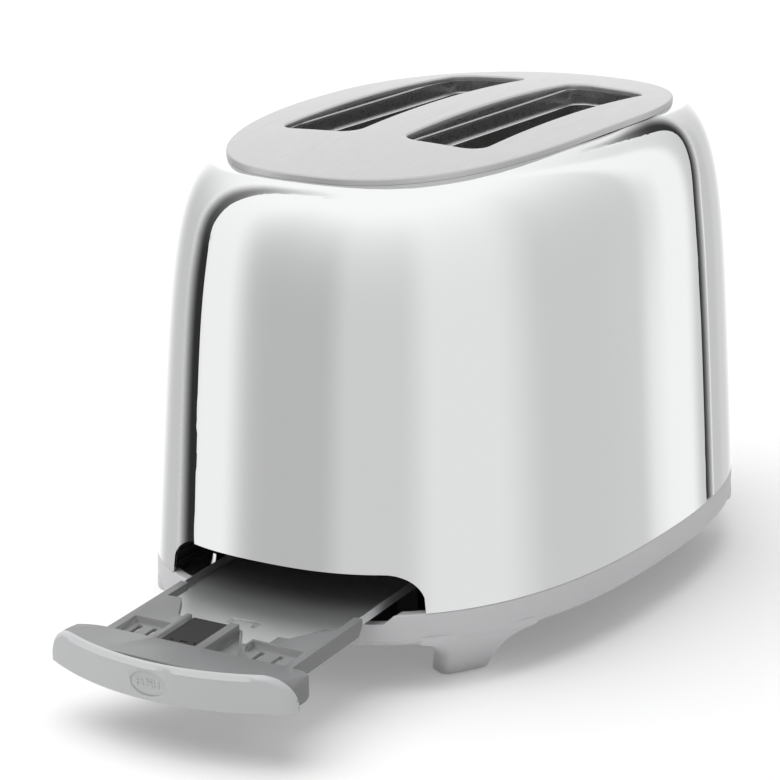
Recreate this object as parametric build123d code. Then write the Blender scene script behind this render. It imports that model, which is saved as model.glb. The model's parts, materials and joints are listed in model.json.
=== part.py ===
from build123d import *
import math
import os

# Two-slice toaster with a full shell, a domed top plate and a crumb tray drawn out at one end.
# Millimetres. +Z up, the tray leaves towards -X, the lever and dial are at the +X end.
# Every piece is drawn about the middle of the body on the table, and moved to the frame's
# origin, the middle of the whole footprint with the tray out, when it is written.

# Plan outline at the foot of the shell: end, corner and side arcs that run into each other
body_half_length = 150.4
body_half_width = 95.6
end_radius = body_half_length - 20.4
corner_radius = body_half_width - 13.2
side_radius = 376.0

# Heights of the body
ring_bottom = 19.2
seam_height = 31.6
crown_height = 198.0

# The shell's flank leans in by its draft, and its shoulder rolls over on a superellipse
shell_wall = 1.6
flank_draft = 0.0595
shoulder_roll = 52.8
shoulder_power = 5.75
side_crest = crown_height - 4.2
end_crest = crown_height - 7.4
shoulder_limit = 0.983
level_shares = (0.097, 0.197, 0.298, 0.399, 0.5, 0.595, 0.683, 0.759, 0.822, 0.876, 0.917, 0.948, 0.971, 0.987)
last_levels = (3.5, 1.6)

# The crown of the top plate, along and across the body
crown_radius_long = 1002.0
crown_radius_cross = 624.0

# Top plate
plate_end_inset = 29.4
plate_side_inset = 32.4
plate_half_length = body_half_length - plate_end_inset
plate_half_width = body_half_width - plate_side_inset
plate_corner_radius = corner_radius - 26.3
plate_side_radius = 370.0
plate_thickness = 1.8
plate_ledge = 7.2

# Bread slots
slot_margin_near = 55.5
slot_margin_far = 40.5
slot_length = 2 * plate_half_length - slot_margin_near - slot_margin_far
slot_width = 34.8
slot_centre_x = (slot_margin_near - slot_margin_far) / 2
slot_centre_y = 27.8
slot_corner = 6.0
liner_wall = 0.8
liner_depth = 21.0
liner_step = 1.6
liner_step_depth = 12.0

# Creases pressed into the shell, one at each end and one on each side
groove_radius = 4.4
groove_lift = 0.7
end_crease_y = 36.8
side_crease_x = 49.4

# Base ring, feet and bottom cover
ring_wall = 4.0
ring_ledge = 8.0
ring_ledge_thickness = 2.5
ring_round = 2.5
cover_thickness = 1.5
cover_clearance = 0.3
foot_angle = 58.0
foot_top_width = 40.0
foot_top_depth = 21.0
foot_waist_width = 25.0
foot_waist_depth = 15.0
foot_waist_height = 11.0
foot_width = 18.0
foot_depth = 12.0
foot_inset_top = 2.0
foot_inset = 16.5
foot_corner = 5.0
pad_thickness = 1.5
pad_inset = 1.0
vent_length = 42.0
vent_width = 3.0
vent_pitch = 9.0
vent_count = 7
screw_head_radius = 3.5
screw_head_height = 1.8
screw_radius = 1.45
screw_clearance = 0.05
screw_inset = 8.0
cut_length = 50.0

# Tray opening in the shell, and the black mouth behind it
tray_y = -6.5
opening_half_width = 53.0
opening_height = 15.0
opening_corner = 12.0
mouth_depth = 36.0
mouth_wall = 1.6
mouth_room = 2.2
mouth_headroom = 1.0
mouth_rib = 1.2
mouth_rib_pitch = 4.0
mouth_rib_start = 8.0
sill_drop = 3.6
sill_slope = 3.4

# Crumb tray, in its own frame: x runs inwards along the rails, z = 0 is the top of the rails
tray_droop = 3.78
tray_rail_height = 35.0
tray_reach = 83.0
rail_half_width = 39.1
rail_depth = 3.6
sheet_thickness = 0.6
sheet_length = 148.0
fascia_gap = 0.3
fascia_corner = opening_corner + 0.3
fascia_half_width = opening_half_width - fascia_gap
fascia_top = 6.1
fascia_low = -7.6
fascia_thickness = 3.0
fascia_radius = 110.0
fascia_bevel = 1.5
badge_half_width = 7.5
badge_half_height = 4.7
badge_middle = -1.2
badge_depth = 0.6
head_back = -51.0
head_low = -5.7
head_corner = 12.0
head_wall = 2.4
arm_inner = 37.0
arm_outer = 40.4
arm_end = -3.2
arm_depth = 6.2
arm_nose = 2.8
arm_end_depth = 2.3
pocket_floor = -2.6
frame_floor = 1.4
pocket_back = -37.6
pocket_wall = 1.3
rib_left = (18.6, 20.8)
rib_right = (-2.4, 1.3)
rib_end = -27.6
recess_width = 14.5
recess_wall = 1.0
recess_floor = -5.6
slat_length = 7.0
slat_width = 2.1
slat_places = (33.0, 26.4, -20.8, -28.8)
latch_thickness = 0.8
catch_hole = (-22.7, -17.5, -5.7, 7.2)
tray_travel = 82.5
tray_rise = 9.9
tray_push = 3.0
tray_gap = 0.3
guide_start = 8.0
guide_wall = 3.0
guide_ledge = 9.0
guide_clearance = 0.6
guide_floor = 1.5
catch_length = 16.0
catch_width = 11.0
catch_drop = 3.0
catch_arm = 4.0

# Toasting chamber
chamber_wall = 1.2
chamber_half_width = 60.0
chamber_top = crown_height - 22.0
chamber_margin = 4.6
shield_thickness = 0.8
shield_bottom = 60.0
heater_bottom = 64.0
heater_top = chamber_top - 10.0
heater_thickness = 1.2
heater_offset = 54.0
heater_turns = 7
heater_ribbon = 2.4
heater_ribbon_thickness = 0.3
heater_margin = 8.0
guard_wire = 1.0
guard_offset = 15.4
guard_low = 70.0
guard_high = chamber_top - 12.0
guard_count = 7
guard_margin = 8.0
end_gap = 0.3

# Lift, lever and carriage
lift_travel = 52.0
rack_height = 116.0
rack_strip = 8.0
rack_thickness = 1.2
rack_finger = 13.0
rack_finger_count = 8
rack_margin = 3.0
rack_slot = 5.0
carriage_gap = 3.0
carriage_plate = 1.5
carriage_length = 14.0
carriage_half_width = 22.0
carriage_height = 38.0
rod_radius = 3.0
rod_clearance = 0.05
rod_spread = 15.0
rod_bracket_thickness = 2.0
rod_bracket_drop = 12.0
rod_top = chamber_top
stem_width = 4.0
stem_height = 5.0
knob_radius = 11.0
knob_gap = 1.6
knob_socket = 9.0
knob_collar = 4.6
trim_proud = 0.9
trim_width = 14.0
lever_slot_width = 6.4
lever_slot_margin = 3.0
magnet_width = 18.0
magnet_length = 12.0
magnet_gap = 1.0
magnet_foot = 3.0
magnet_core = 2.5

# Controls at the far end
control_height = 66.0
dial_radius = 15.5
dial_height = 13.0
dial_taper = 1.2
dial_gap = 0.9
dial_edge = 1.5
shaft_radius = 3.0
shaft_hole = 5.0
pot_radius = 8.0
pot_length = 8.0
pot_floor = 2.0
board_setback = 29.4
board_x = body_half_length - board_setback
board_thickness = 1.6
board_half_width = 34.0
board_top = 87.0
button_radius = 4.5
button_clearance = 0.3
button_proud = 2.6
button_flange = 1.4
button_flange_width = 1.2
button_travel = 1.5
button_side = 24.0
button_rise = 9.0
switch_size = 6.0
switch_height = 3.6

# Cord gland
gland_x = 58.0
gland_radius = 4.4
gland_flange = 5.0
gland_flange_thickness = 1.5
gland_bore = 3.2
gland_height = 26.5


def arcs(half_length, half_width, end_r, side_r, corner_r):
    """Centres of the outline's arcs and the angles, in degrees, where they meet."""
    end_x = half_length - end_r
    side_y = half_width - side_r
    apart = math.hypot(end_x, side_y)
    to_end = end_r - corner_r
    to_side = side_r - corner_r
    along = (to_end**2 - to_side**2 + apart**2) / (2 * apart)
    across = math.sqrt(to_end**2 - along**2)
    ux, uy = -end_x / apart, side_y / apart
    corner_x = end_x + along * ux - across * uy
    corner_y = along * uy + across * ux
    low = math.degrees(math.atan2(corner_y, corner_x - end_x))
    high = math.degrees(math.atan2(corner_y - side_y, corner_x))
    return end_x, side_y, corner_x, corner_y, low, high


def outline(half_length, half_width, end_r, side_r, corner_r):
    """Closed plan outline of eight arcs, symmetric about both axes."""
    end_x, side_y, cx, cy, low, high = arcs(half_length, half_width, end_r, side_r, corner_r)
    turn = high - low
    edges = [
        CenterArc((end_x, 0), end_r, -low, 2 * low),
        CenterArc((cx, cy), corner_r, low, turn),
        CenterArc((0, side_y), side_r, high, 180 - 2 * high),
        CenterArc((-cx, cy), corner_r, 180 - high, turn),
        CenterArc((-end_x, 0), end_r, 180 - low, 2 * low),
        CenterArc((-cx, -cy), corner_r, 180 + low, turn),
        CenterArc((0, -side_y), side_r, 180 + high, 180 - 2 * high),
        CenterArc((cx, -cy), corner_r, 360 - high, turn),
    ]
    return Face(Wire(edges))


def inset(height, crest):
    """How far the shell has drawn in at a height: flank draft plus the shoulder's roll."""
    rise = (height - seam_height) / (crest - seam_height)
    held = min(rise, shoulder_limit)
    left = 1 - held**shoulder_power
    roll = 1 - left ** (1 / shoulder_power)
    slope = left ** (1 / shoulder_power - 1) * held ** (shoulder_power - 1)
    roll += slope * (rise - held)
    return flank_draft * (height - seam_height) + shoulder_roll * roll


def body_sizes(height, wall=0.0):
    """Outline sizes of the shell at a height, drawn in by a wall."""
    at_end = inset(height, end_crest) + wall
    at_side = inset(height, side_crest) + wall
    middle = (at_end + at_side) / 2
    return (
        body_half_length - at_end,
        body_half_width - at_side,
        end_radius - at_end,
        side_radius - at_side,
        corner_radius - middle,
    )


def body(wall=0.0):
    """Solid of the shell's form, drawn in by a wall."""
    rise = side_crest - seam_height
    levels = [seam_height] + [seam_height + share * rise for share in level_shares if share < 0.98]
    levels += [side_crest - drop for drop in last_levels]
    return loft([Pos(0, 0, height) * outline(*body_sizes(height, wall)) for height in levels])


def ring_outline(drawn_in=0.0):
    """Outline of the base ring, drawn in by a distance."""
    sizes = (body_half_length, body_half_width, end_radius, side_radius, corner_radius)
    return outline(*[size - drawn_in for size in sizes])


def plate_outline(drawn_in=0.0):
    """Outline of the top plate, drawn in by a distance."""
    sizes = (plate_half_length, plate_half_width, end_radius, plate_side_radius, plate_corner_radius)
    return outline(*[size - drawn_in for size in sizes])


def end_reach(y, height):
    """Distance from the middle to the shell's far end at a height, off to one side by y."""
    sizes = body_sizes(height)
    end_x, _, cx, cy, low, _ = arcs(*sizes)
    if abs(y) < sizes[2] * math.sin(math.radians(low)):
        return end_x + math.sqrt(sizes[2] ** 2 - y**2)
    return cx + math.sqrt(sizes[4] ** 2 - (abs(y) - cy) ** 2)


def side_reach(x, height):
    """Distance from the middle to the shell's side at a height, off to one end by x."""
    sizes = body_sizes(height)
    _, side_y, _, _, _, _ = arcs(*sizes)
    return side_y + math.sqrt(sizes[3] ** 2 - x**2)


def under_crown(drop):
    """Everything below the crowned surface of the top plate, lowered by a drop."""
    half = body_half_width + 10
    radius = crown_radius_cross - drop
    centre = crown_height - crown_radius_cross
    edge = centre + math.sqrt(radius**2 - half**2)
    arc = ThreePointArc((-half, edge), (0, centre + radius), (half, edge))
    sides = Polyline((half, edge), (half, -10), (-half, -10), (-half, edge))
    hinge = Axis((0, 0, crown_height - crown_radius_long), (0, 1, 0))
    sweep_angle = 2 * math.degrees(math.asin((body_half_length + 20) / (crown_radius_long - crown_height)))
    section = Plane.YZ * make_face(Wire([arc] + sides.edges()))
    return revolve(section, hinge, sweep_angle).rotate(hinge, -sweep_angle / 2)


def crown_at(x, y):
    """Height of the crowned surface."""
    across = crown_radius_cross - math.sqrt(crown_radius_cross**2 - y**2)
    along = crown_radius_long - math.sqrt(crown_radius_long**2 - x**2)
    return crown_height - across - along


def slot_outline(grow=0.0):
    """One bread slot's outline, grown by a distance."""
    return RectangleRounded(slot_length + 2 * grow, slot_width + 2 * grow, slot_corner + grow)


def both_slots(shape):
    """A shape placed at the front and the rear slot."""
    return [Pos(slot_centre_x, side * slot_centre_y, 0) * shape for side in (-1, 1)]


def block(low, high):
    """Box from its low to its high corner."""
    size = [b - a for a, b in zip(low, high)]
    middle = [(a + b) / 2 for a, b in zip(low, high)]
    return Pos(*middle) * Box(*size)


def pipe(path, radius):
    """Round bar along a path."""
    return sweep(Plane(path @ 0, z_dir=path % 0) * Circle(radius), path)


# The creases
def end_crease_path():
    """Line of the crease up the tray end and over its shoulder, lifting off to fade."""
    low, high, over = seam_height - 8, crown_height - 72, end_crest - 12.6
    reach = groove_lift
    points = [
        (-(end_reach(end_crease_y, seam_height) + reach), end_crease_y, low),
        (-(end_reach(end_crease_y - 0.6, high) + reach), end_crease_y - 0.6, high),
        (-(end_reach(end_crease_y - 2.5, over) + reach), end_crease_y - 2.5, over),
        (-(end_reach(8.0, end_crest - 4.6) + reach), 8.0, end_crest - 4.6),
        (-(end_reach(-22.0, end_crest - 2.1) + reach), -22.0, end_crest - 2.1 + groove_radius),
    ]
    return FilletPolyline(points, radius=[60, 9, 30])


def side_crease_path():
    """Line of the crease up the front side and over its shoulder, lifting off to fade."""
    low, high, over = seam_height - 8, crown_height - 70, side_crest - 11.8
    fade, lift_off = side_crest - 3.6, side_crest - 2.8
    points = [
        (side_crease_x, -(side_reach(side_crease_x, seam_height) + groove_lift), low),
        (side_crease_x, -(side_reach(side_crease_x, high) + groove_lift), high),
        (side_crease_x + 3.5, -(side_reach(side_crease_x, over) + groove_lift), over),
        (18.0, -(side_reach(18.0, fade) + groove_lift), fade + groove_lift),
        (-32.0, -(side_reach(32.0, lift_off) + groove_lift), lift_off + groove_radius),
    ]
    return FilletPolyline(points, radius=[70, 10, 40])


def creases(radius):
    """Cutters of one radius along all four creases; opposite ones are a half turn apart."""
    pair = [pipe(end_crease_path(), radius), pipe(side_crease_path(), radius)]
    return pair + [Rot(0, 0, 180) * crease for crease in pair]


def tray_window(grow=0.0, rise=0.0):
    """Outline of the tray's opening seen along X, grown to its sides and raised at its top."""
    half, top = opening_half_width + grow, seam_height + opening_height + rise
    bottom = seam_height - 1
    corner = opening_corner + grow
    outline_ = Rectangle(2 * half, top - bottom)
    face = fillet(outline_.vertices().sort_by(Axis.Y)[-2:], corner)
    return Pos(tray_y, (top + bottom) / 2) * face


def along_x(face, start, end):
    """A face drawn in Y and Z, pulled along X from start to end."""
    return Pos(start, 0, 0) * extrude(Plane.YZ * face, end - start)


def lever_prism(width, margin):
    """Prism of the lever slot at the far end."""
    low = lever_height - lift_travel - stem_height / 2 - margin
    high = lever_height + stem_height / 2 + margin
    face = Pos(0, (low + high) / 2) * RectangleRounded(width, high - low, width / 2 - 0.01)
    return along_x(face, far_inner - 15, body_half_length + 5)


# Places that several pieces share
deck = ring_bottom + cover_thickness
tray_lift = tray_rise - math.tan(math.radians(tray_droop)) * tray_travel
guide_rise = rail_depth + tray_lift + 1.5
chamber_low_x = slot_centre_x - slot_length / 2 - chamber_margin
chamber_high_x = slot_centre_x + slot_length / 2 + chamber_margin
carriage_x = chamber_high_x + chamber_wall + carriage_gap
block_x = carriage_x + carriage_plate
rod_x = block_x + carriage_length / 2
lever_height = rack_height + carriage_height - 6.0
button_places = [
    (side * button_side, control_height + rise * button_rise) for rise in (1, -1) for side in (-1, 1)
]
carriage_bottom = rack_height - rack_strip / 2 - 2.0
far_inner = end_reach(0, lever_height) - shell_wall
knob_x = end_reach(0, lever_height - lift_travel) + trim_proud + knob_gap + knob_radius


def make_outer_shell():
    """Chromed shell: rolled shoulder, creases, top opening, tray opening and control holes."""
    cavity = body(shell_wall) & under_crown(plate_thickness + shell_wall)
    for backing in creases(groove_radius + shell_wall):
        cavity -= backing
    shell = (body() & under_crown(plate_thickness)) - cavity
    shell -= extrude(Pos(0, 0, seam_height) * plate_outline(plate_ledge), crown_height - seam_height)
    for crease in creases(groove_radius):
        shell -= crease
    shell -= along_x(tray_window(), -body_half_length - 5, -body_half_length + 45)
    shell -= lever_prism(trim_width, lever_slot_margin + (trim_width - lever_slot_width) / 2)
    shell -= Pos(far_inner, 0, control_height) * Rot(0, 90, 0) * Cylinder(shaft_hole, cut_length)
    for y, z in button_places:
        shell -= Pos(far_inner, y, z) * Rot(0, 90, 0) * Cylinder(button_radius + button_clearance, cut_length)
    return shell


def make_top_plate():
    """Domed plate with two rounded bread slots."""
    low = crown_height - cut_length / 2
    plate = extrude(Pos(0, 0, low) * plate_outline(), cut_length)
    for slot in both_slots(extrude(Pos(0, 0, low) * slot_outline(), cut_length)):
        plate -= slot
    return (plate & under_crown(0)) - under_crown(plate_thickness)


def make_slot_liner(side):
    """Sheet sleeve under one slot, with a step inwards part of the way down."""
    step_z = crown_height - liner_step_depth
    low = crown_height - liner_depth - liner_step_depth / 2
    upper = extrude(Pos(0, 0, step_z) * (slot_outline(liner_wall) - slot_outline()), crown_height - step_z)
    ledge = slot_outline(liner_wall) - slot_outline(-liner_step)
    ledge = extrude(Pos(0, 0, step_z - liner_wall) * ledge, liner_wall)
    lower = slot_outline(liner_wall - liner_step) - slot_outline(-liner_step)
    lower = extrude(Pos(0, 0, low) * lower, step_z - liner_wall - low)
    liner = Pos(slot_centre_x, side * slot_centre_y, 0) * (upper + ledge + lower)
    return liner & under_crown(plate_thickness)


def foot_places():
    """Turned places of the four feet on the ring's outline, facing outwards."""
    end_x, side_y, cx, cy, _, _ = arcs(
        body_half_length, body_half_width, end_radius, side_radius, corner_radius
    )
    turn = math.radians(foot_angle)
    x = cx + corner_radius * math.cos(turn)
    y = cy + corner_radius * math.sin(turn)
    places = []
    for sx, sy in ((1, 1), (-1, 1), (-1, -1), (1, -1)):
        heading = math.degrees(math.atan2(sy * math.sin(turn), sx * math.cos(turn)))
        places.append(Location((sx * x, sy * y, 0), (0, 0, heading)))
    return places


def foot_section(height, width, depth, drawn_in):
    """One section of a foot, in the frame of its place: x points outwards."""
    face = RectangleRounded(depth, width, min(foot_corner, depth / 2 - 0.5))
    return Pos(-drawn_in - depth / 2, 0, height) * face


def make_foot():
    """Foot that flares from its pad up into the ring."""
    waist_in = foot_inset_top + (foot_inset - foot_inset_top) * 0.72
    sections = [
        foot_section(pad_thickness, foot_width, foot_depth, foot_inset),
        foot_section(foot_waist_height, foot_waist_width, foot_waist_depth, waist_in),
        foot_section(ring_bottom, foot_top_width, foot_top_depth, foot_inset_top),
    ]
    top = extrude(foot_section(ring_bottom, foot_top_width, foot_top_depth, foot_inset_top), cover_thickness)
    return loft(sections) + top


def screw_places():
    """Places of the cover's screws on the ring's ledge."""
    x = body_half_length - screw_inset
    y = body_half_width - screw_inset
    return [(x, 0.0), (0.0, y), (-x, 0.0), (0.0, -y)]


def tray_notch():
    """Notch in the ring that the tray's arms pass through, with sloping sides."""
    half = arm_outer + guide_clearance
    low, high = seam_height - sill_drop, seam_height + 5
    points = [(-half, low), (half, low), (half + sill_slope, seam_height), (half + sill_slope, high)]
    points += [(-half - sill_slope, high), (-half - sill_slope, seam_height)]
    face = Pos(tray_y, 0) * make_face(Polyline(*points, close=True))
    return along_x(face, -body_half_length - 5, -body_half_length + cut_length)


def make_base_ring():
    """Ring with its four feet, and the ledge that the bottom cover is screwed to."""
    ring = extrude(Pos(0, 0, ring_bottom) * ring_outline(), seam_height - ring_bottom)
    ring = fillet(ring.faces().sort_by(Axis.Z)[0].edges(), ring_round)
    ring -= extrude(Pos(0, 0, ring_bottom) * ring_outline(ring_wall), seam_height)
    ledge = ring_outline(ring_wall) - ring_outline(ring_wall + ring_ledge)
    ring += extrude(Pos(0, 0, deck) * ledge, ring_ledge_thickness)
    for place in foot_places():
        ring += place * make_foot()
    for x, y in screw_places():
        ring -= Pos(x, y, deck + ring_ledge_thickness / 2) * Cylinder(screw_radius + screw_clearance, 20)
    ring -= tray_notch()
    ring -= gland_hole()
    return ring


def make_foot_pads():
    """Four rubber pads under the feet."""
    pad = foot_section(0, foot_width - 2 * pad_inset, foot_depth - 2 * pad_inset, foot_inset + pad_inset)
    pad = extrude(pad, pad_thickness)
    return [place * pad for place in foot_places()]


def make_base_cover():
    """Bottom cover: a plate inside the ring, with vents and screw holes."""
    cover = extrude(Pos(0, 0, ring_bottom) * ring_outline(ring_wall + cover_clearance), cover_thickness)
    for place in foot_places():
        grown = foot_section(
            ring_bottom - 1,
            foot_top_width + 2 * cover_clearance,
            foot_top_depth + 2 * cover_clearance,
            foot_inset_top - cover_clearance,
        )
        cover -= place * extrude(grown, cover_thickness + 2)
    vent = SlotOverall(vent_length, vent_width)
    for row in (-1, 1):
        for column in range(vent_count):
            x = slot_centre_x + (column - (vent_count - 1) / 2) * vent_pitch
            y = row * (chamber_half_width - vent_length / 2 - 8)
            cover -= extrude(Pos(x, y, ring_bottom - 1) * Rot(0, 0, 90) * vent, cover_thickness + 2)
    for x, y in screw_places():
        cover -= Pos(x, y, ring_bottom) * Cylinder(screw_radius + 2 * screw_clearance, 10)
    return cover


def make_base_screws():
    """Four pan-head screws that hold the cover to the ring."""
    head = Pos(0, 0, ring_bottom - screw_head_height) * Cylinder(
        screw_head_radius, screw_head_height, align=(Align.CENTER, Align.CENTER, Align.MIN)
    )
    head = fillet(head.faces().sort_by(Axis.Z)[0].edges(), screw_head_height / 2)
    shank = Pos(0, 0, ring_bottom) * Cylinder(
        screw_radius, cover_thickness + ring_ledge_thickness, align=(Align.CENTER, Align.CENTER, Align.MIN)
    )
    return [Pos(x, y, 0) * (head + shank) for x, y in screw_places()]


def gland_hole():
    """Hole for the cord gland in the ring's rear side."""
    y = side_reach(gland_x, seam_height)
    return Pos(gland_x, y, gland_height) * Rot(90, 0, 0) * Cylinder(gland_radius, 30)


def make_cord_gland():
    """Flanged bush where the cord enters the ring."""
    y = side_reach(gland_x, seam_height)
    bush = Rot(90, 0, 0) * Cylinder(gland_radius, ring_wall + 6)
    bush = Pos(gland_x, y - (ring_wall + 6) / 2 + gland_flange_thickness, gland_height) * bush
    outer = extrude(Pos(0, 0, ring_bottom) * ring_outline(), seam_height)
    flange = Pos(gland_x, y + gland_flange_thickness / 2, gland_height) * Rot(90, 0, 0) * Cylinder(
        gland_flange, gland_flange_thickness + 2
    )
    bore = Pos(gland_x, y, gland_height) * Rot(90, 0, 0) * Cylinder(gland_bore, 60)
    return (bush + (flange - outer)) - bore


# The crumb tray
def tray_place():
    """Where the tray's own frame stands with the tray drawn out."""
    return Location((-body_half_length, tray_y, tray_rail_height), (0, -tray_droop, 0))


def fascia_outline(drawn_in=0.0):
    """Front outline of the tray's fascia, which follows the opening; drawn in by a distance."""
    half = fascia_half_width - drawn_in
    top, low = fascia_top - drawn_in, fascia_low + drawn_in
    corner = fascia_corner * (top - low) / (fascia_top - fascia_low)
    face = Pos(0, (top + low) / 2) * Rectangle(2 * half, top - low)
    return fillet(face.vertices().sort_by(Axis.Y)[-2:], corner)


def bow(radius):
    """Upright cylinder that the fascia's faces are curved on."""
    return Pos(fascia_radius - tray_reach, 0, 0) * Cylinder(radius, 80)


def make_tray_front():
    """Bowed fascia with a bevelled top edge and a sunk oval."""
    front = along_x(fascia_outline(), -tray_reach - 5, head_back)
    front = (front & bow(fascia_radius)) - bow(fascia_radius - fascia_thickness)
    front &= block((-tray_reach - 5, -80, -40), (head_back, 80, 40))
    outer_edges = front.faces().sort_by(Axis.X)[0].edges()
    front = chamfer(outer_edges.sort_by(Axis.Z)[1:], fascia_bevel)
    badge = Pos(0, badge_middle) * Ellipse(badge_half_width, badge_half_height)
    return front - along_x(badge, -tray_reach - 5, -tray_reach + badge_depth)


def head_block(drawn_in):
    """Moulding behind the fascia, with its top falling back to the rails; drawn in by a wall."""
    back = head_back - drawn_in
    low = head_low - 3 * drawn_in
    front_x = -tray_reach - 5
    slope_start = -tray_reach + fascia_thickness + 2
    side = Polyline(
        (front_x, low), (back, low), (back, -drawn_in), (slope_start, fascia_top - drawn_in),
        (front_x, fascia_top), close=True,
    )
    length = back - front_x + 2 * head_corner
    plan = RectangleRounded(length, 2 * (fascia_half_width - drawn_in), head_corner - drawn_in)
    plan = extrude(Pos(back - length / 2, 0, -30) * plan, 60)
    solid = extrude(Plane.XZ * make_face(side), 70, both=True) & plan
    solid &= along_x(fascia_outline(drawn_in), front_x, back)
    return solid & bow(fascia_radius - fascia_thickness - drawn_in)


def recess_prism(grow, low, high):
    """Three-cornered well beside the right rib, grown by a wall, between two heights."""
    side = rib_right[0]
    corners = [(head_back, side), (rib_end, side), (head_back, side - recess_width)]
    face = make_face(Polyline(*corners, close=True))
    if grow:
        face = offset(face, grow)
    return extrude(Pos(0, 0, low) * face, high - low)


def make_tray_frame():
    """Moulded frame: head behind the fascia, two arms, gussets, ribs, a well and slotted pockets."""
    hollow = head_block(head_wall)
    hollow += Pos(0, 0, head_low) * hollow
    frame = head_block(0) - hollow
    start = head_back - head_wall
    arm = Polyline(
        (start, 0), (arm_end, 0), (arm_end, -arm_end_depth), (arm_end - arm_nose, -arm_depth),
        (start, -arm_depth), close=True,
    )
    arm = extrude(Plane.XZ * make_face(arm), arm_outer - arm_inner)
    for y in (-arm_inner, arm_outer):
        frame += Pos(0, y, 0) * arm
    floor_low = pocket_floor - frame_floor
    sheet_top = -rail_depth + sheet_thickness
    floor_end = pocket_back + pocket_wall
    frame += block((start, -arm_inner, floor_low), (floor_end, arm_inner, pocket_floor))
    for low_y, high_y in (rib_left, rib_right):
        frame += block((start, low_y, sheet_top), (rib_end, high_y, 0))
    left = Polyline(
        (pocket_back, arm_inner), (pocket_back, rib_left[1]), (-30.7, rib_left[1]),
        (-29.7, 23.3), (-17.0, 30.5), (-16.4, 32.2), (-16.9, arm_inner), close=True,
    )
    right = Polyline(
        (pocket_back, -arm_inner), (pocket_back, -21.2), (-30.7, -21.4),
        (-30.2, -25.7), (-23.1, -30.0), (-17.4, -33.4), (-16.9, -arm_inner), close=True,
    )
    for gusset in (left, right):
        frame += extrude(Pos(0, 0, sheet_top) * make_face(gusset), -sheet_top)
    wall_y = rib_right[0] - recess_width + 2.8
    frame += block((pocket_back, -arm_inner, sheet_top), (floor_end, wall_y, 0))
    frame += block((pocket_back - 4.0, wall_y - pocket_wall, sheet_top), (floor_end, wall_y, 0))
    frame += recess_prism(recess_wall, recess_floor - recess_wall, pocket_floor)
    frame -= recess_prism(0, recess_floor, 1)
    slat = SlotOverall(slat_length, slat_width)
    middle = (head_back + pocket_back) / 2 + 1.3
    for y in slat_places:
        frame -= extrude(Pos(middle, y, floor_low - 1) * slat, frame_floor + 2)
    return frame


def make_tray_sheet():
    """Sheet-metal tray: floor, turned-up sides and back, and a hole for the catch."""
    low = -rail_depth
    floor_top = low + sheet_thickness
    start = arm_end + 0.5
    sheet = block((pocket_back + pocket_wall, -arm_inner, low), (start, arm_inner, floor_top))
    sheet += block((start, -rail_half_width, low), (sheet_length, rail_half_width, floor_top))
    for side in (-1, 1):
        edge = side * (rail_half_width - sheet_thickness)
        low_y, high_y = sorted((edge, side * rail_half_width))
        sheet += block((start, low_y, low), (sheet_length, high_y, 0))
    sheet += block((sheet_length - sheet_thickness, -rail_half_width, low), (sheet_length, rail_half_width, 0))
    x0, x1, y0, y1 = catch_hole
    sheet -= block((x0, y0, low - 1), (x1, y1, floor_top + 1))
    sheet -= recess_prism(recess_wall + 0.2, low - 1, floor_top + 1)
    tongue = block((x0 - 0.5, (y0 + y1) / 2 - 4, low), (x1 - 1.6, (y0 + y1) / 2 + 4, floor_top))
    return sheet + tongue


def make_tray_latch():
    """Dark latch plate between the frame's two ribs."""
    low_y, high_y = rib_right[1], rib_left[0]
    plate = block((head_back + 2, low_y, pocket_floor), (rib_end + 1.3, high_y, pocket_floor + latch_thickness))
    middle = (low_y + high_y) / 2
    for y in (middle + 5, middle - 5):
        plate -= Pos(head_back + 5, y, 0) * Cylinder(0.7, 20)
    return plate - block((head_back + 4, middle - 2, -9), (head_back + 5.6, middle + 1.4, 9))


def tray_bottom_at(x):
    """Height of the drawn-out tray's underside where it crosses x, in the body's frame."""
    slope = math.tan(math.radians(tray_droop))
    return tray_rail_height - rail_depth / math.cos(math.radians(tray_droop)) + slope * (x + body_half_length)


def make_tray_guide(side):
    """Black channel under one edge of the tray: a ledge for the sheet and a wall beside the arm."""
    x0 = -body_half_length + mouth_depth + guide_start
    x1 = chamber_high_x - end_gap
    low_y = arm_inner - guide_clearance - guide_ledge
    high_y = arm_outer + guide_clearance + guide_wall
    ledge = Polyline(
        (x0, deck), (x1, deck), (x1, tray_bottom_at(x1) - tray_gap), (x0, tray_bottom_at(x0) - tray_gap), close=True
    )
    wall = Polyline(
        (x0, deck), (x1, deck), (x1, tray_bottom_at(x1) + guide_rise), (x0, tray_bottom_at(x0) + guide_rise), close=True
    )
    guide = block((x0, low_y, deck), (x1, high_y, deck + guide_floor))
    guide += Pos(0, low_y + guide_ledge, 0) * extrude(Plane.XZ * make_face(ledge), guide_ledge)
    guide += Pos(0, high_y, 0) * extrude(Plane.XZ * make_face(wall), guide_wall)
    if side < 0:
        guide = guide.mirror(Plane.XZ)
    return Pos(0, tray_y, 0) * guide


def make_tray_mouth():
    """Black arch that lines the opening, with ribs at its two ends."""
    start, end = -body_half_length - 5, -body_half_length + mouth_depth
    arch = tray_window(mouth_room + mouth_wall, mouth_headroom + mouth_wall)
    arch = along_x(arch - tray_window(mouth_room, mouth_headroom), start, end)
    arch &= block((start, -body_half_width, seam_height), (end, body_half_width, seam_height + cut_length))
    rib_tip = opening_half_width + guide_clearance
    for side in (-1, 1):
        for index in (0, 1):
            z = seam_height + 2.5 + index * mouth_rib_pitch
            low_y, high_y = sorted((tray_y + side * rib_tip, tray_y + side * (rib_tip + mouth_room)))
            arch += block((-body_half_length + mouth_rib_start, low_y, z), (end, high_y, z + mouth_rib))
    return (arch & body(shell_wall)) - pipe(end_crease_path(), groove_radius + shell_wall + 0.3)


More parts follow.
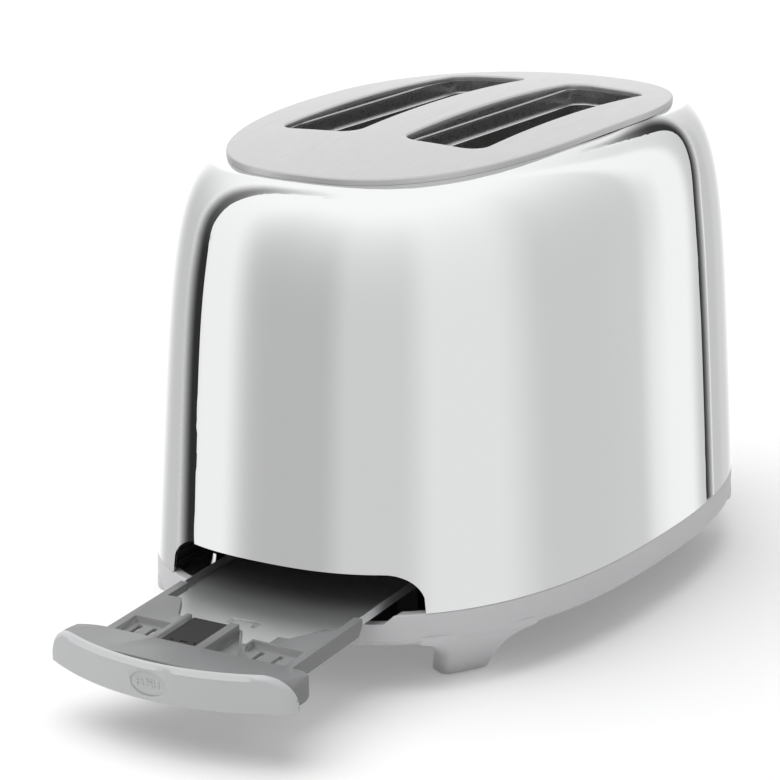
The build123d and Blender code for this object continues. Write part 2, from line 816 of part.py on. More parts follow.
def make_tray_catch():
    """Catch on the cover that holds the tray shut."""
    x = -body_half_length + (catch_hole[0] + catch_hole[1]) / 2 + tray_travel
    y = tray_y + 1
    top = tray_bottom_at(x - catch_length / 2) - 1.0
    foot = block(
        (x - catch_length / 2, y - catch_width / 2, deck), (x + catch_length / 2, y + catch_width / 2, top - catch_drop)
    )
    arm = block((x - catch_arm / 2, y - catch_width / 4, deck), (x + catch_arm / 2, y + catch_width / 4, top))
    return foot + arm


# The toasting chamber
def make_chamber_end_near():
    """Upright sheet at the tray end of the chamber, with a gateway for the tray."""
    sheet = block(
        (chamber_low_x - chamber_wall, -chamber_half_width, deck), (chamber_low_x, chamber_half_width, chamber_top)
    )
    inner = arm_outer + guide_clearance + guide_wall + 1.0
    top = tray_bottom_at(chamber_low_x) + guide_rise + 1.5
    return sheet - block((chamber_low_x - 5, tray_y - inner, 0), (chamber_low_x + 5, tray_y + inner, top))


def make_chamber_end_far():
    """Upright sheet at the lever end of the chamber, with slots for the bread racks."""
    sheet = block(
        (chamber_high_x, -chamber_half_width, deck), (chamber_high_x + chamber_wall, chamber_half_width, chamber_top)
    )
    low = rack_height - lift_travel - rack_strip / 2 - 2
    high = rack_height + rack_strip / 2 + 2
    for side in (-1, 1):
        slot = Pos(side * slot_centre_y, (low + high) / 2) * RectangleRounded(rack_slot, high - low, rack_slot / 2 - 0.1)
        sheet -= along_x(slot, chamber_high_x - 5, chamber_high_x + 5)
    return sheet


def make_heat_shield(side):
    """Thin sheet along one side of the chamber, between its ends."""
    low_y, high_y = sorted((side * (chamber_half_width - shield_thickness), side * chamber_half_width))
    return block((chamber_low_x, low_y, shield_bottom), (chamber_high_x, high_y, chamber_top))


def make_heater(y):
    """Mica board with notched edges, and flat ribbon wound round it in open turns."""
    low_x, high_x = chamber_low_x + end_gap, chamber_high_x - end_gap
    board = block((low_x, y - heater_thickness / 2, heater_bottom), (high_x, y + heater_thickness / 2, heater_top))
    pitch = (heater_top - heater_bottom) / heater_turns
    length = high_x - low_x - 2 * heater_margin
    middle_x = (low_x + high_x) / 2
    ribbons = []
    for index in range(heater_turns):
        z = heater_bottom + (index + 0.5) * pitch
        outer = Box(length + 2 * heater_ribbon_thickness, heater_thickness + 2 * heater_ribbon_thickness, heater_ribbon)
        loop = outer - Box(length, heater_thickness, heater_ribbon)
        ribbons.append(Pos(middle_x, y, z) * loop)
        for end in (-1, 1):
            slit = Box(heater_ribbon_thickness + 0.4, heater_thickness + 2, heater_ribbon + 0.4)
            board -= Pos(middle_x + end * (length + heater_ribbon_thickness) / 2, y, z) * slit
    return board, ribbons


def make_bread_guard(slot_side, wall_side):
    """Wire guard along one wall of one slot: upright wires between two bars."""
    y = slot_side * slot_centre_y + wall_side * guard_offset
    low_x, high_x = chamber_low_x + end_gap, chamber_high_x - end_gap
    bar = Rot(0, 90, 0) * Cylinder(guard_wire, high_x - low_x)
    guard = Pos((low_x + high_x) / 2, y, guard_low) * bar
    guard += Pos((low_x + high_x) / 2, y, guard_high) * bar
    pitch = (slot_length - 2 * guard_margin) / (guard_count - 1)
    for index in range(guard_count):
        x = slot_centre_x + (index - (guard_count - 1) / 2) * pitch
        guard += Pos(x, y, (guard_low + guard_high) / 2) * Cylinder(guard_wire, guard_high - guard_low)
    return guard


# The lift
def make_bread_rack(side):
    """Strip with cross fingers that carries the bread, reaching out to the carriage."""
    y = side * slot_centre_y
    low_x = slot_centre_x - slot_length / 2 + rack_margin
    strip = block(
        (low_x, y - rack_thickness / 2, rack_height - rack_strip / 2),
        (carriage_x, y + rack_thickness / 2, rack_height + rack_strip / 2),
    )
    pitch = (slot_length - 4 * rack_margin) / (rack_finger_count - 1)
    for index in range(rack_finger_count):
        x = low_x + rack_margin + index * pitch
        finger = Box(rack_thickness, rack_finger, rack_strip - 2)
        strip += Pos(x, y, rack_height + 1) * finger
    return strip


def make_carriage():
    """Sliding block on the two rods, with the cross plate that holds both racks."""
    top = carriage_bottom + carriage_height
    cross = block(
        (carriage_x, -slot_centre_y - 4, rack_height - rack_strip / 2 - 1),
        (block_x, slot_centre_y + 4, rack_height + rack_strip / 2 + 1),
    )
    slider = block(
        (block_x, -carriage_half_width, carriage_bottom), (block_x + carriage_length, carriage_half_width, top)
    )
    slider = fillet(slider.edges().filter_by(Axis.Z), 2.0)
    carriage = cross + slider
    for side in (-1, 1):
        carriage -= Pos(rod_x, side * rod_spread, top) * Cylinder(rod_radius + rod_clearance, 4 * carriage_height)
    return carriage


def make_guide_rods():
    """Two steel rods from the cover to the bracket."""
    rods = []
    for side in (-1, 1):
        rod = Cylinder(rod_radius, rod_top - deck, align=(Align.CENTER, Align.CENTER, Align.MIN))
        rods.append(Pos(rod_x, side * rod_spread, deck) * rod)
    return rods


def make_rod_bracket():
    """Bracket on the chamber's far end that holds the tops of the rods."""
    start = chamber_high_x + chamber_wall
    half = carriage_half_width
    shelf = block((start, -half, rod_top), (rod_x + 2 * rod_radius, half, rod_top + rod_bracket_thickness))
    back = block((start, -half, rod_top - rod_bracket_drop), (start + rod_bracket_thickness / 2, half, rod_top))
    return shelf + back


def make_lever_stem():
    """Flat bar from the carriage out through the lever slot."""
    return block(
        (block_x + carriage_length, -stem_width / 2, lever_height - stem_height / 2),
        (knob_x - knob_radius + knob_socket, stem_width / 2, lever_height + stem_height / 2),
    )


def make_lever_knob():
    """Ball knob with a socket for the stem."""
    socket = block(
        (knob_x - 2 * knob_radius, -stem_width / 2, lever_height - stem_height / 2),
        (knob_x - knob_radius + knob_socket, stem_width / 2, lever_height + stem_height / 2),
    )
    collar = Pos(knob_x - knob_radius + 0.4, 0, lever_height) * Rot(0, 90, 0) * Cylinder(knob_collar, 2.4)
    return (Pos(knob_x, 0, lever_height) * Sphere(knob_radius) + collar) - socket


def make_lever_trim():
    """Black frame that lines the lever's slot and stands a little proud of the shell."""
    margin = lever_slot_margin + (trim_width - lever_slot_width) / 2
    ring = lever_prism(trim_width, margin) - lever_prism(lever_slot_width, lever_slot_margin)
    return (ring & body(-trim_proud)) - body(shell_wall)


def make_magnet():
    """Holding magnet under the carriage: a coil round a core."""
    top = carriage_bottom - lift_travel - magnet_gap
    foot = Pos(rod_x, 0, deck + magnet_foot / 2) * Box(magnet_length, magnet_width, magnet_foot)
    coil = Pos(rod_x, 0, (deck + top) / 2) * Cylinder(magnet_length / 2 - 0.5, top - deck - 12)
    core = Pos(rod_x, 0, (deck + top) / 2) * Cylinder(magnet_core, top - deck)
    return foot + coil + core


# The controls
def dial_back():
    """Where the dial's back face stands, just clear of the leaning shell."""
    return end_reach(0, control_height - dial_radius) + dial_gap


def make_browning_dial():
    """Round dial with a tapered rim, a pointer notch and a socket for its shaft."""
    back = dial_back()
    profile = Polyline(
        (0, 0), (dial_radius, 0), (dial_radius - dial_taper, dial_height - dial_edge),
        (dial_radius - dial_taper - dial_edge, dial_height), (0, dial_height), close=True,
    )
    dial = revolve(Plane.XZ * make_face(profile), Axis.Z)
    dial -= Pos(0, 0, 0) * Cylinder(shaft_radius, 2 * (dial_height - 4))
    notch = Pos(0, dial_radius - 4, dial_height) * Box(1.6, 6.5, 1.2)
    return Pos(back, 0, control_height) * Rot(0, 90, 0) * (dial - Rot(0, 0, 90) * notch)


def make_dial_shaft():
    """Shaft from the potentiometer into the dial."""
    start = board_x + board_thickness + pot_floor
    end = dial_back() + dial_height - 4
    shaft = Cylinder(shaft_radius, end - start, align=(Align.CENTER, Align.CENTER, Align.MIN))
    return Pos(start, 0, control_height) * Rot(0, 90, 0) * shaft


def make_potentiometer():
    """Potentiometer on the board, with the bush that its shaft turns in."""
    start = board_x + board_thickness
    align = (Align.CENTER, Align.CENTER, Align.MIN)
    can = Cylinder(pot_radius, pot_length, align=align)
    can -= Pos(0, 0, pot_floor) * Cylinder(shaft_radius + rod_clearance, pot_length, align=align)
    return Pos(start, 0, control_height) * Rot(0, 90, 0) * can


def make_control_board():
    """Circuit board behind the controls, standing on the cover."""
    return block((board_x, -board_half_width, deck), (board_x + board_thickness, board_half_width, board_top))


def make_button_switches():
    """Small push switches on the board, one behind each button."""
    start = board_x + board_thickness
    switches = []
    for y, z in button_places:
        switches.append(Pos(start + switch_height / 2, y, z) * Box(switch_height, switch_size, switch_size))
    return switches


def make_button(y, z):
    """Round button through the shell, with a flange behind it and a stem to its switch."""
    align = (Align.CENTER, Align.CENTER, Align.MIN)
    outer_y = abs(y) + button_radius + button_flange_width
    inner_face = end_reach(outer_y, z + button_radius) - shell_wall - 1.2
    tip = end_reach(abs(y), z) + button_proud
    start = board_x + board_thickness + switch_height + button_travel + 0.1
    cap = Cylinder(button_radius, tip - inner_face, align=align)
    cap = fillet(cap.faces().sort_by(Axis.Z)[-1].edges(), 1.0)
    button = Pos(inner_face, 0, 0) * Rot(0, 90, 0) * cap
    flange = Cylinder(button_radius + button_flange_width, button_flange, align=align)
    button += Pos(inner_face - button_flange, 0, 0) * Rot(0, 90, 0) * flange
    stem = Cylinder(button_radius / 2, inner_face - start, align=align)
    button += Pos(start, 0, 0) * Rot(0, 90, 0) * stem
    return Pos(0, y, z) * button


def build():
    """Every node of the toaster, by name."""
    nodes = {
        "outer_shell": make_outer_shell(),
        "top_plate": make_top_plate(),
        "slot_liner_front": make_slot_liner(-1),
        "slot_liner_rear": make_slot_liner(1),
        "base_ring": make_base_ring(),
        "foot_pads": make_foot_pads(),
        "base_cover": make_base_cover(),
        "base_screws": make_base_screws(),
        "cord_gland": make_cord_gland(),
        "tray_mouth": make_tray_mouth(),
        "tray_guide_front": make_tray_guide(-1),
        "tray_guide_rear": make_tray_guide(1),
        "tray_catch": make_tray_catch(),
        "chamber_end_near": make_chamber_end_near(),
        "chamber_end_far": make_chamber_end_far(),
        "heat_shield_front": make_heat_shield(-1),
        "heat_shield_rear": make_heat_shield(1),
        "carriage": make_carriage(),
        "bread_rack_front": make_bread_rack(-1),
        "bread_rack_rear": make_bread_rack(1),
        "lever_stem": make_lever_stem(),
        "lever_knob": make_lever_knob(),
        "lever_trim": make_lever_trim(),
        "guide_rods": make_guide_rods(),
        "rod_bracket": make_rod_bracket(),
        "holding_magnet": make_magnet(),
        "control_board": make_control_board(),
        "dial_potentiometer": make_potentiometer(),
        "dial_shaft": make_dial_shaft(),
        "browning_dial": make_browning_dial(),
        "button_switches": make_button_switches(),
    }
    nodes["tray_front"] = tray_place() * make_tray_front()
    nodes["tray_frame"] = tray_place() * make_tray_frame()
    nodes["tray_sheet"] = tray_place() * make_tray_sheet()
    nodes["tray_latch"] = tray_place() * make_tray_latch()
    for name, y in (("front", -heater_offset), ("middle", 0.0), ("rear", heater_offset)):
        board, ribbons = make_heater(y)
        nodes[f"heater_board_{name}"] = board
        nodes[f"heater_ribbon_{name}"] = ribbons
    for slot_name, slot_side in (("front", -1), ("rear", 1)):
        for wall_name, wall_side in (("outer", slot_side), ("inner", -slot_side)):
            nodes[f"bread_guard_{slot_name}_{wall_name}"] = make_bread_guard(slot_side, wall_side)
    for name, place in zip(("bagel", "defrost", "reheat", "cancel"), button_places):
        nodes[f"button_{name}"] = make_button(*place)
    return nodes


def as_shape(node):
    """One shape of a node's solid or solids."""
    if not isinstance(node, list):
        return node
    return Compound([solid for piece in node for solid in piece.solids()])


pieces = {name: as_shape(node) for name, node in build().items()}
reach = Compound([solid for shape in pieces.values() for solid in shape.solids()]).bounding_box()
origin = -(reach.min.X + reach.max.X) / 2
print(f"body centre at x = {origin:.4f} mm in the frame, reach {reach.min.X:.3f} to {reach.max.X:.3f}")
os.makedirs("parts", exist_ok=True)
for name, shape in pieces.items():
    export_step(Pos(origin, 0, 0) * shape, f"parts/{name}.step")
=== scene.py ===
"""Visual model of a two-slice toaster with its crumb tray drawn out."""

import json
import logging
import math
from dataclasses import dataclass, field
from enum import Enum

import bmesh
import bpy
import numpy as np
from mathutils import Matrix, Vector


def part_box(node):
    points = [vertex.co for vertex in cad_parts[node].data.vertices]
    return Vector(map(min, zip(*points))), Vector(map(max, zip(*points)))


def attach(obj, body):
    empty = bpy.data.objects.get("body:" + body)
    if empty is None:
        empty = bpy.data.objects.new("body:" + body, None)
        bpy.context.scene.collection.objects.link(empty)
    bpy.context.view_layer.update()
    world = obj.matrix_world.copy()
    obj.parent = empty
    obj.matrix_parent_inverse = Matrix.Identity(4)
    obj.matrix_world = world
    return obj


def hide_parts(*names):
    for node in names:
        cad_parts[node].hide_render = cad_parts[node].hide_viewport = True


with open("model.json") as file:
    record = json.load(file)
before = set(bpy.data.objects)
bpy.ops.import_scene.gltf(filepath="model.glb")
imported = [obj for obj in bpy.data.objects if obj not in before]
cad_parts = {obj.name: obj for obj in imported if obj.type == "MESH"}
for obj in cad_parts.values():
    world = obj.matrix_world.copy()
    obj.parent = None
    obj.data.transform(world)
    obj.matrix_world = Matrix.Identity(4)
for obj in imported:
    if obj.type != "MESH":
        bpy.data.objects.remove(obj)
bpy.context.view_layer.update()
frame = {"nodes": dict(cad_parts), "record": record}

log = logging.getLogger("toaster")
MM = 0.001
TRAY_Y = -6.5
CROWN = 198.0
WHITE = (1.0, 1.0, 1.0, 1.0)
KEYS = ("bagel", "defrost", "reheat", "cancel")
Array = np.ndarray
Node = bpy.types.Node
Tree = bpy.types.NodeTree
Socket = bpy.types.NodeSocket


def body_centre() -> float:
    """Place of the body's middle along X in the frame, in millimetres."""
    low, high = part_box("base_ring")
    return (low[0] + high[0]) / 2 / MM


SHIFT = body_centre()


def set_inputs(tree: Tree, node: Node, inputs: dict) -> None:
    """Gives a node's inputs, by name or number, their values or the sockets that feed them."""
    for name, value in inputs.items():
        if isinstance(value, Socket):
            tree.links.new(value, node.inputs[name])
        else:
            node.inputs[name].default_value = value


def add_node(tree: Tree, kind: str, inputs: dict | None = None, **settings: str) -> Node:
    """Adds a shader node.

    Args:
        tree: the node tree.
        kind: the node's type, without the words that all types start with.
        inputs: for each input's name or number, its value or the socket that feeds it.
        settings: the node's own properties.

    Returns:
        The node.
    """
    node = tree.nodes.new("ShaderNode" + kind)
    for name, value in settings.items():
        setattr(node, name, value)
    set_inputs(tree, node, inputs or {})
    return node


class Grain(Enum):
    """What the fine texture of a finish follows."""

    NONE = "none"
    BRUSHED = "brushed"
    SATIN = "satin"
    MOTTLED = "mottled"


@dataclass(frozen=True)
class Finish:
    """A surface finish, made into a procedural material.

    Attributes:
        name: the material's name.
        slot: the record's material slot.
        colour: base colour, linear.
        metallic: 1 for bare metal.
        roughness: width of the gloss.
        grain: kind of fine texture.
        grain_size: size of the texture in millimetres.
        grain_depth: strength of its relief.
        spread: how far the texture varies the roughness.
        coat: weight of a clear coat.
        shade: name of a vertex attribute of painted shade, which darkens the colour to a dull black, or nothing.
    """

    name: str
    slot: str
    colour: tuple[float, float, float]
    metallic: float = 0.0
    roughness: float = 0.4
    grain: Grain = Grain.SATIN
    grain_size: float = 1.0
    grain_depth: float = 0.05
    spread: float = 0.05
    coat: float = 0.0
    shade: str = ""

    def material(self) -> bpy.types.Material:
        """The material of this finish, made once.

        Returns:
            The Blender material.
        """
        made = bpy.data.materials.get(self.name)
        if made:
            return made
        made = bpy.data.materials.new(self.name)
        made.use_nodes = True
        tree = made.node_tree
        shader = tree.nodes["Principled BSDF"]
        set_inputs(tree, shader, {
            "Base Color": (*self.colour, 1.0), "Metallic": self.metallic, "Roughness": self.roughness,
            "Coat Weight": self.coat,
        })
        if self.grain is not Grain.NONE:
            self._texture(tree, shader)
        if self.shade:
            self._paint_shade(tree, shader)
        return made

    def _texture(self, tree: Tree, shader: Node) -> None:
        """Adds a noise that varies roughness and relief, and the tone of a mottled finish.

        Args:
            tree: the material's node tree.
            shader: its principled shader.
        """
        scale = 1.0 / (self.grain_size * MM)
        stretch = {Grain.BRUSHED: (0.02, 1.0, 1.0), Grain.MOTTLED: (0.6, 1.0, 1.0)}.get(self.grain, (1, 1, 1))
        place = add_node(tree, "TexCoord").outputs["Object"]
        mapping = add_node(tree, "Mapping", {"Vector": place, "Scale": [scale * part for part in stretch]})
        noise = add_node(tree, "TexNoise", {"Vector": mapping.outputs["Vector"], "Scale": 1.0, "Detail": 3.0})
        height = noise.outputs["Fac"]
        gloss = add_node(tree, "MapRange", {
            "Value": height, "From Min": 0.25, "From Max": 0.75,
            "To Min": max(self.roughness - self.spread, 0.01), "To Max": self.roughness + self.spread,
        })
        bump = add_node(tree, "Bump", {"Height": height, "Strength": self.grain_depth, "Distance": 0.0002})
        set_inputs(tree, shader, {"Roughness": gloss.outputs["Result"], "Normal": bump.outputs["Normal"]})
        if self.grain is Grain.MOTTLED:
            patch = add_node(tree, "MapRange", {"Value": height, "From Min": 0.36, "From Max": 0.62})
            dark = [0.62 * part for part in self.colour]
            pale = [min(1.15 * part, 1) for part in self.colour]
            self._mix(tree, shader, patch.outputs["Result"], dark, pale)

    def _paint_shade(self, tree: Tree, shader: Node) -> None:
        """Paints shade: turns the surface to a dull black by a vertex attribute.

        Args:
            tree: the material's node tree.
            shader: its principled shader.
        """
        share = add_node(tree, "Attribute", attribute_name=self.shade).outputs["Fac"]
        self._mix(tree, shader, share, self.colour, (0.01, 0.01, 0.011))
        for socket, bare, dark in (("Metallic", self.metallic, 0.0), ("Roughness", self.roughness, 0.9)):
            passage = add_node(tree, "MapRange", {"Value": share, "To Min": bare, "To Max": dark})
            set_inputs(tree, shader, {socket: passage.outputs["Result"]})

    @staticmethod
    def _mix(tree: Tree, shader: Node, share: Socket, first: tuple, second: tuple) -> None:
        """Gives the shader a colour mixed from two, by a share of the second."""
        mix = add_node(tree, "Mix", {"Factor": share, "A": (*first, 1.0), "B": (*second, 1.0)}, data_type="RGBA")
        set_inputs(tree, shader, {"Base Color": mix.outputs["Result"]})


# The polished steel paints shade through a vertex attribute: the creases and the shell's inner face go to a dull black.
POLISHED = Finish("polished_steel", "polished_shell", (0.86, 0.865, 0.87), 1.0, 0.055, Grain.NONE, shade="painted_groove_shade")
PLATE = Finish("satin_steel_plate", "satin_plate", (0.56, 0.56, 0.565), 1.0, 0.34, Grain.BRUSHED, 0.9, 0.12, 0.06)
RING = Finish("silver_ring", "silver_ring", (0.55, 0.55, 0.56), 0.75, 0.38, Grain.SATIN, 0.5, 0.05, 0.04)
BRIGHT = Finish("bright_steel", "bright_steel", (0.60, 0.60, 0.60), 1.0, 0.26, Grain.SATIN, 1.5, 0.05, 0.05)
SHEET = Finish("zinc_sheet", "zinc_sheet", (0.56, 0.57, 0.57), 0.9, 0.36, Grain.MOTTLED, 1.6, 0.15, 0.1)
LIGHT_GREY = Finish("light_grey_plastic", "light_grey", (0.52, 0.525, 0.53), 0.0, 0.36, Grain.SATIN, 0.4, 0.06, 0.04)
MID_GREY = Finish("mid_grey_plastic", "mid_grey", (0.20, 0.202, 0.205), 0.0, 0.42, Grain.SATIN, 0.35, 0.08, 0.05)
BLACK = Finish("black_plastic", "black_plastic", (0.012, 0.012, 0.012), 0.0, 0.5, Grain.SATIN, 0.4, 0.08, 0.05)
GLOSS_BLACK = Finish("gloss_black_plastic", "gloss_black", (0.012, 0.012, 0.013), 0.0, 0.14, Grain.NONE, coat=0.3)
DARK_SHEET = Finish("dark_painted_sheet", "dark_sheet", (0.03, 0.03, 0.03), 0.0, 0.5, Grain.SATIN, 0.8, 0.1, 0.05)
MICA = Finish("mica_board", "mica", (0.42, 0.35, 0.24), 0.0, 0.55, Grain.MOTTLED, 3.0, 0.1, 0.1)
ALLOY = Finish("heater_alloy", "heater_alloy", (0.30, 0.27, 0.25), 1.0, 0.4, Grain.NONE)
RUBBER = Finish("soft_rubber", "rubber", (0.02, 0.02, 0.02), 0.0, 0.75, Grain.SATIN, 0.6, 0.12, 0.05)
BOARD = Finish("circuit_board", "circuit_board", (0.02, 0.13, 0.05), 0.0, 0.35, Grain.NONE)
COIL = Finish("copper_coil", "copper_coil", (0.50, 0.22, 0.10), 1.0, 0.35, Grain.SATIN, 0.4, 0.2, 0.05)
SCREW = Finish("zinc_screw", "zinc_screw", (0.55, 0.54, 0.52), 1.0, 0.35, Grain.NONE)
# Slot sleeve steel: partly its own colour, partly darkened below the bright steel as painted shade inside the slots.
SLEEVE = Finish("slot_steel_painted_shade", "bright_steel", (0.50, 0.50, 0.505), 1.0, 0.30, Grain.SATIN, 1.2, 0.05, 0.05)
# The sleeve step's rim: a brighter colour as a painted highlight.
STEP_HIGHLIGHT = Finish("slot_step_painted_highlight", "bright_steel", (0.80, 0.80, 0.80), 1.0, 0.22, Grain.NONE)
FINISHES = {finish.slot: finish for finish in (
    POLISHED, PLATE, RING, BRIGHT, SHEET, LIGHT_GREY, MID_GREY, BLACK, GLOSS_BLACK, DARK_SHEET, MICA, ALLOY,
    RUBBER, BOARD, COIL, SCREW,
)}


@dataclass
class Mesh:
    """Vertices and faces gathered piece by piece, in millimetres about the body's middle."""

    points: list[Array] = field(default_factory=list)
    faces: list[Array] = field(default_factory=list)
    size: int = 0

    def add(self, points: Array) -> Array:
        """Adds vertices.

        Args:
            points: an array of positions, of any shape ending in 3.

        Returns:
            Their indices, in the same shape without the last axis.
        """
        flat = np.asarray(points, float).reshape(-1, 3)
        index = np.arange(self.size, self.size + len(flat)).reshape(np.asarray(points).shape[:-1])
        self.points.append(flat)
        self.size += len(flat)
        return index

    def quads(self, rows: Array, flip: bool = False, keep: Array | None = None) -> None:
        """Adds the quads between rows of indices that each run round and join.

        Args:
            rows: grid of indices, rows by columns.
            flip: turns the faces round.
            keep: which quads are made, where not all are.
        """
        right = np.roll(rows, -1, axis=1)
        quad = np.stack([rows[:-1], right[:-1], right[1:], rows[1:]], axis=-1)
        quad = quad.reshape(-1, 4) if keep is None else quad[keep]
        self.faces.append(quad[:, ::-1] if flip else quad)

    def tube(self, rows: Array, flip: bool = False, endless: bool = False) -> None:
        """Adds rows of points that each run round and join, with the quads between them.

        Args:
            rows: positions, rows by columns by 3.
            flip: turns the faces round.
            endless: joins the last row to the first.
        """
        ids = self.add(rows)
        self.quads(np.vstack([ids, ids[:1]]) if endless else ids, flip)

    def piece(self, name: str, finish: Finish, body: str, *nodes: str, sharp: float = 35.0) -> bpy.types.Object:
        """Makes the Blender object and ties it to the frame.

        Args:
            name: the object's name.
            finish: its finish.
            body: the CAD body that it rides on.
            nodes: the CAD nodes that it replaces.
            sharp: edges that turn more than this many degrees stay sharp.

        Returns:
            The new object.
        """
        points = (np.concatenate(self.points) + (SHIFT, 0, 0)) * MM
        faces = np.concatenate(self.faces)
        mesh = bpy.data.meshes.new(name)
        mesh.from_pydata(points.tolist(), [], [[*dict.fromkeys(face)] for face in faces.tolist()])
        mesh.validate()
        mesh.shade_smooth()
        mesh.set_sharp_from_angle(angle=math.radians(sharp))
        return dress(bpy.data.objects.new(name, mesh), finish, body, *nodes)


def dress(piece: bpy.types.Object, finish: Finish, body: str, *nodes: str) -> bpy.types.Object:
    """Gives a new object its finish and ties it to the frame.

    Args:
        piece: the object.
        finish: its finish.
        body: the CAD body that it rides on.
        nodes: the CAD nodes that it replaces.

    Returns:
        The same object.
    """
    bpy.context.scene.collection.objects.link(piece)
    piece.data.materials.clear()
    piece.data.materials.append(finish.material())
    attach(piece, body)
    if nodes:
        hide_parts(*nodes)
    piece.visible_glossy = body != "tray"
    log.info("%s: %d faces", piece.name, len(piece.data.polygons))
    return piece


def lengths(line: Array) -> Array:
    """Running length at each point of a line."""
    return np.concatenate([[0], np.cumsum(np.linalg.norm(np.diff(line, axis=0), axis=1))])


def read(values: Array, run: Array, at: Array) -> Array:
    """Values given along a line, read at other running lengths."""
    return np.stack([np.interp(at, run, column) for column in values.T], -1)


def even_points(line: Array, count: int) -> Array:
    """Points at equal steps along a line, its last point left out."""
    run = lengths(line)
    return read(line, run, np.arange(count) * run[-1] / count)


def paces(run: Array, step: Array) -> Array:
    """Number of steps up to each point of a line, where the step changes along it."""
    return np.concatenate([[0], np.cumsum(np.diff(run) / step[1:])])


@dataclass(frozen=True)
class Oval:
    """Plan outline: a superellipse, |x/a|^n + |y/b|^n = 1."""

    half_length: float
    half_width: float
    power: float

    def table(self, count: int = 24000) -> tuple[Array, Array, Array]:
        """Points, outward normals and running length round the outline, from +X through +Y.

        Args:
            count: steps of the angle round the outline.

        Returns:
            Points, normals and lengths, one row more than the steps, as the last point is the first.
        """
        turn = np.linspace(0, 2 * np.pi, count + 1)
        cos, sin = np.cos(turn), np.sin(turn)
        x = self.half_length * np.sign(cos) * np.abs(cos) ** (2 / self.power)
        y = self.half_width * np.sign(sin) * np.abs(sin) ** (2 / self.power)
        nx = np.sign(x) * np.abs(x / self.half_length) ** (self.power - 1) / self.half_length
        ny = np.sign(y) * np.abs(y / self.half_width) ** (self.power - 1) / self.half_width
        long = np.hypot(nx, ny)
        points = np.stack([x, y], -1)
        return points, np.stack([nx / long, ny / long], -1), lengths(points)

    def at(self, run: Array) -> tuple[Array, Array]:
        """Points and outward normals at given lengths round the outline.

        Args:
            run: lengths, wrapped round at the full length.

        Returns:
            Points and unit normals, one row for each length.
        """
        points, normals, length = self.table()
        run = np.asarray(run) % length[-1]
        normal = read(normals, length, run)
        return read(points, length, run), normal / np.linalg.norm(normal, axis=-1, keepdims=True)

    def evenly(self, count: int) -> tuple[Array, Array]:
        """Points and outward normals at equal steps round the outline."""
        total = self.table()[2][-1]
        return self.at(np.arange(count) * total / count)


BODY = Oval(150.4, 95.6, 2.51)


def crown(x: Array, y: Array) -> Array:
    """Height of the top plate's crowned surface: two circular arcs added."""
    along, across = 1002.0, 624.0
    return CROWN - (along - np.sqrt(along**2 - x**2)) - (across - np.sqrt(across**2 - y**2))


def smoothstep(x: Array) -> Array:
    """Rises from 0 to 1 with level ends: 3x^2 - 2x^3."""
    x = np.clip(x, 0, 1)
    return x * x * (3 - 2 * x)


def normals_of(grid: Array) -> Array:
    """Unit normals of a grid of points, by the cross product of its differences.

    Args:
        grid: positions, rows by columns by 3; the columns run round and join.

    Returns:
        Normals in the same shape, outward where columns run anticlockwise and rows upward.
    """
    along = np.roll(grid, -1, 1) - np.roll(grid, 1, 1)
    normal = np.cross(along, np.gradient(grid, axis=0))
    return normal / np.linalg.norm(normal, axis=-1, keepdims=True)


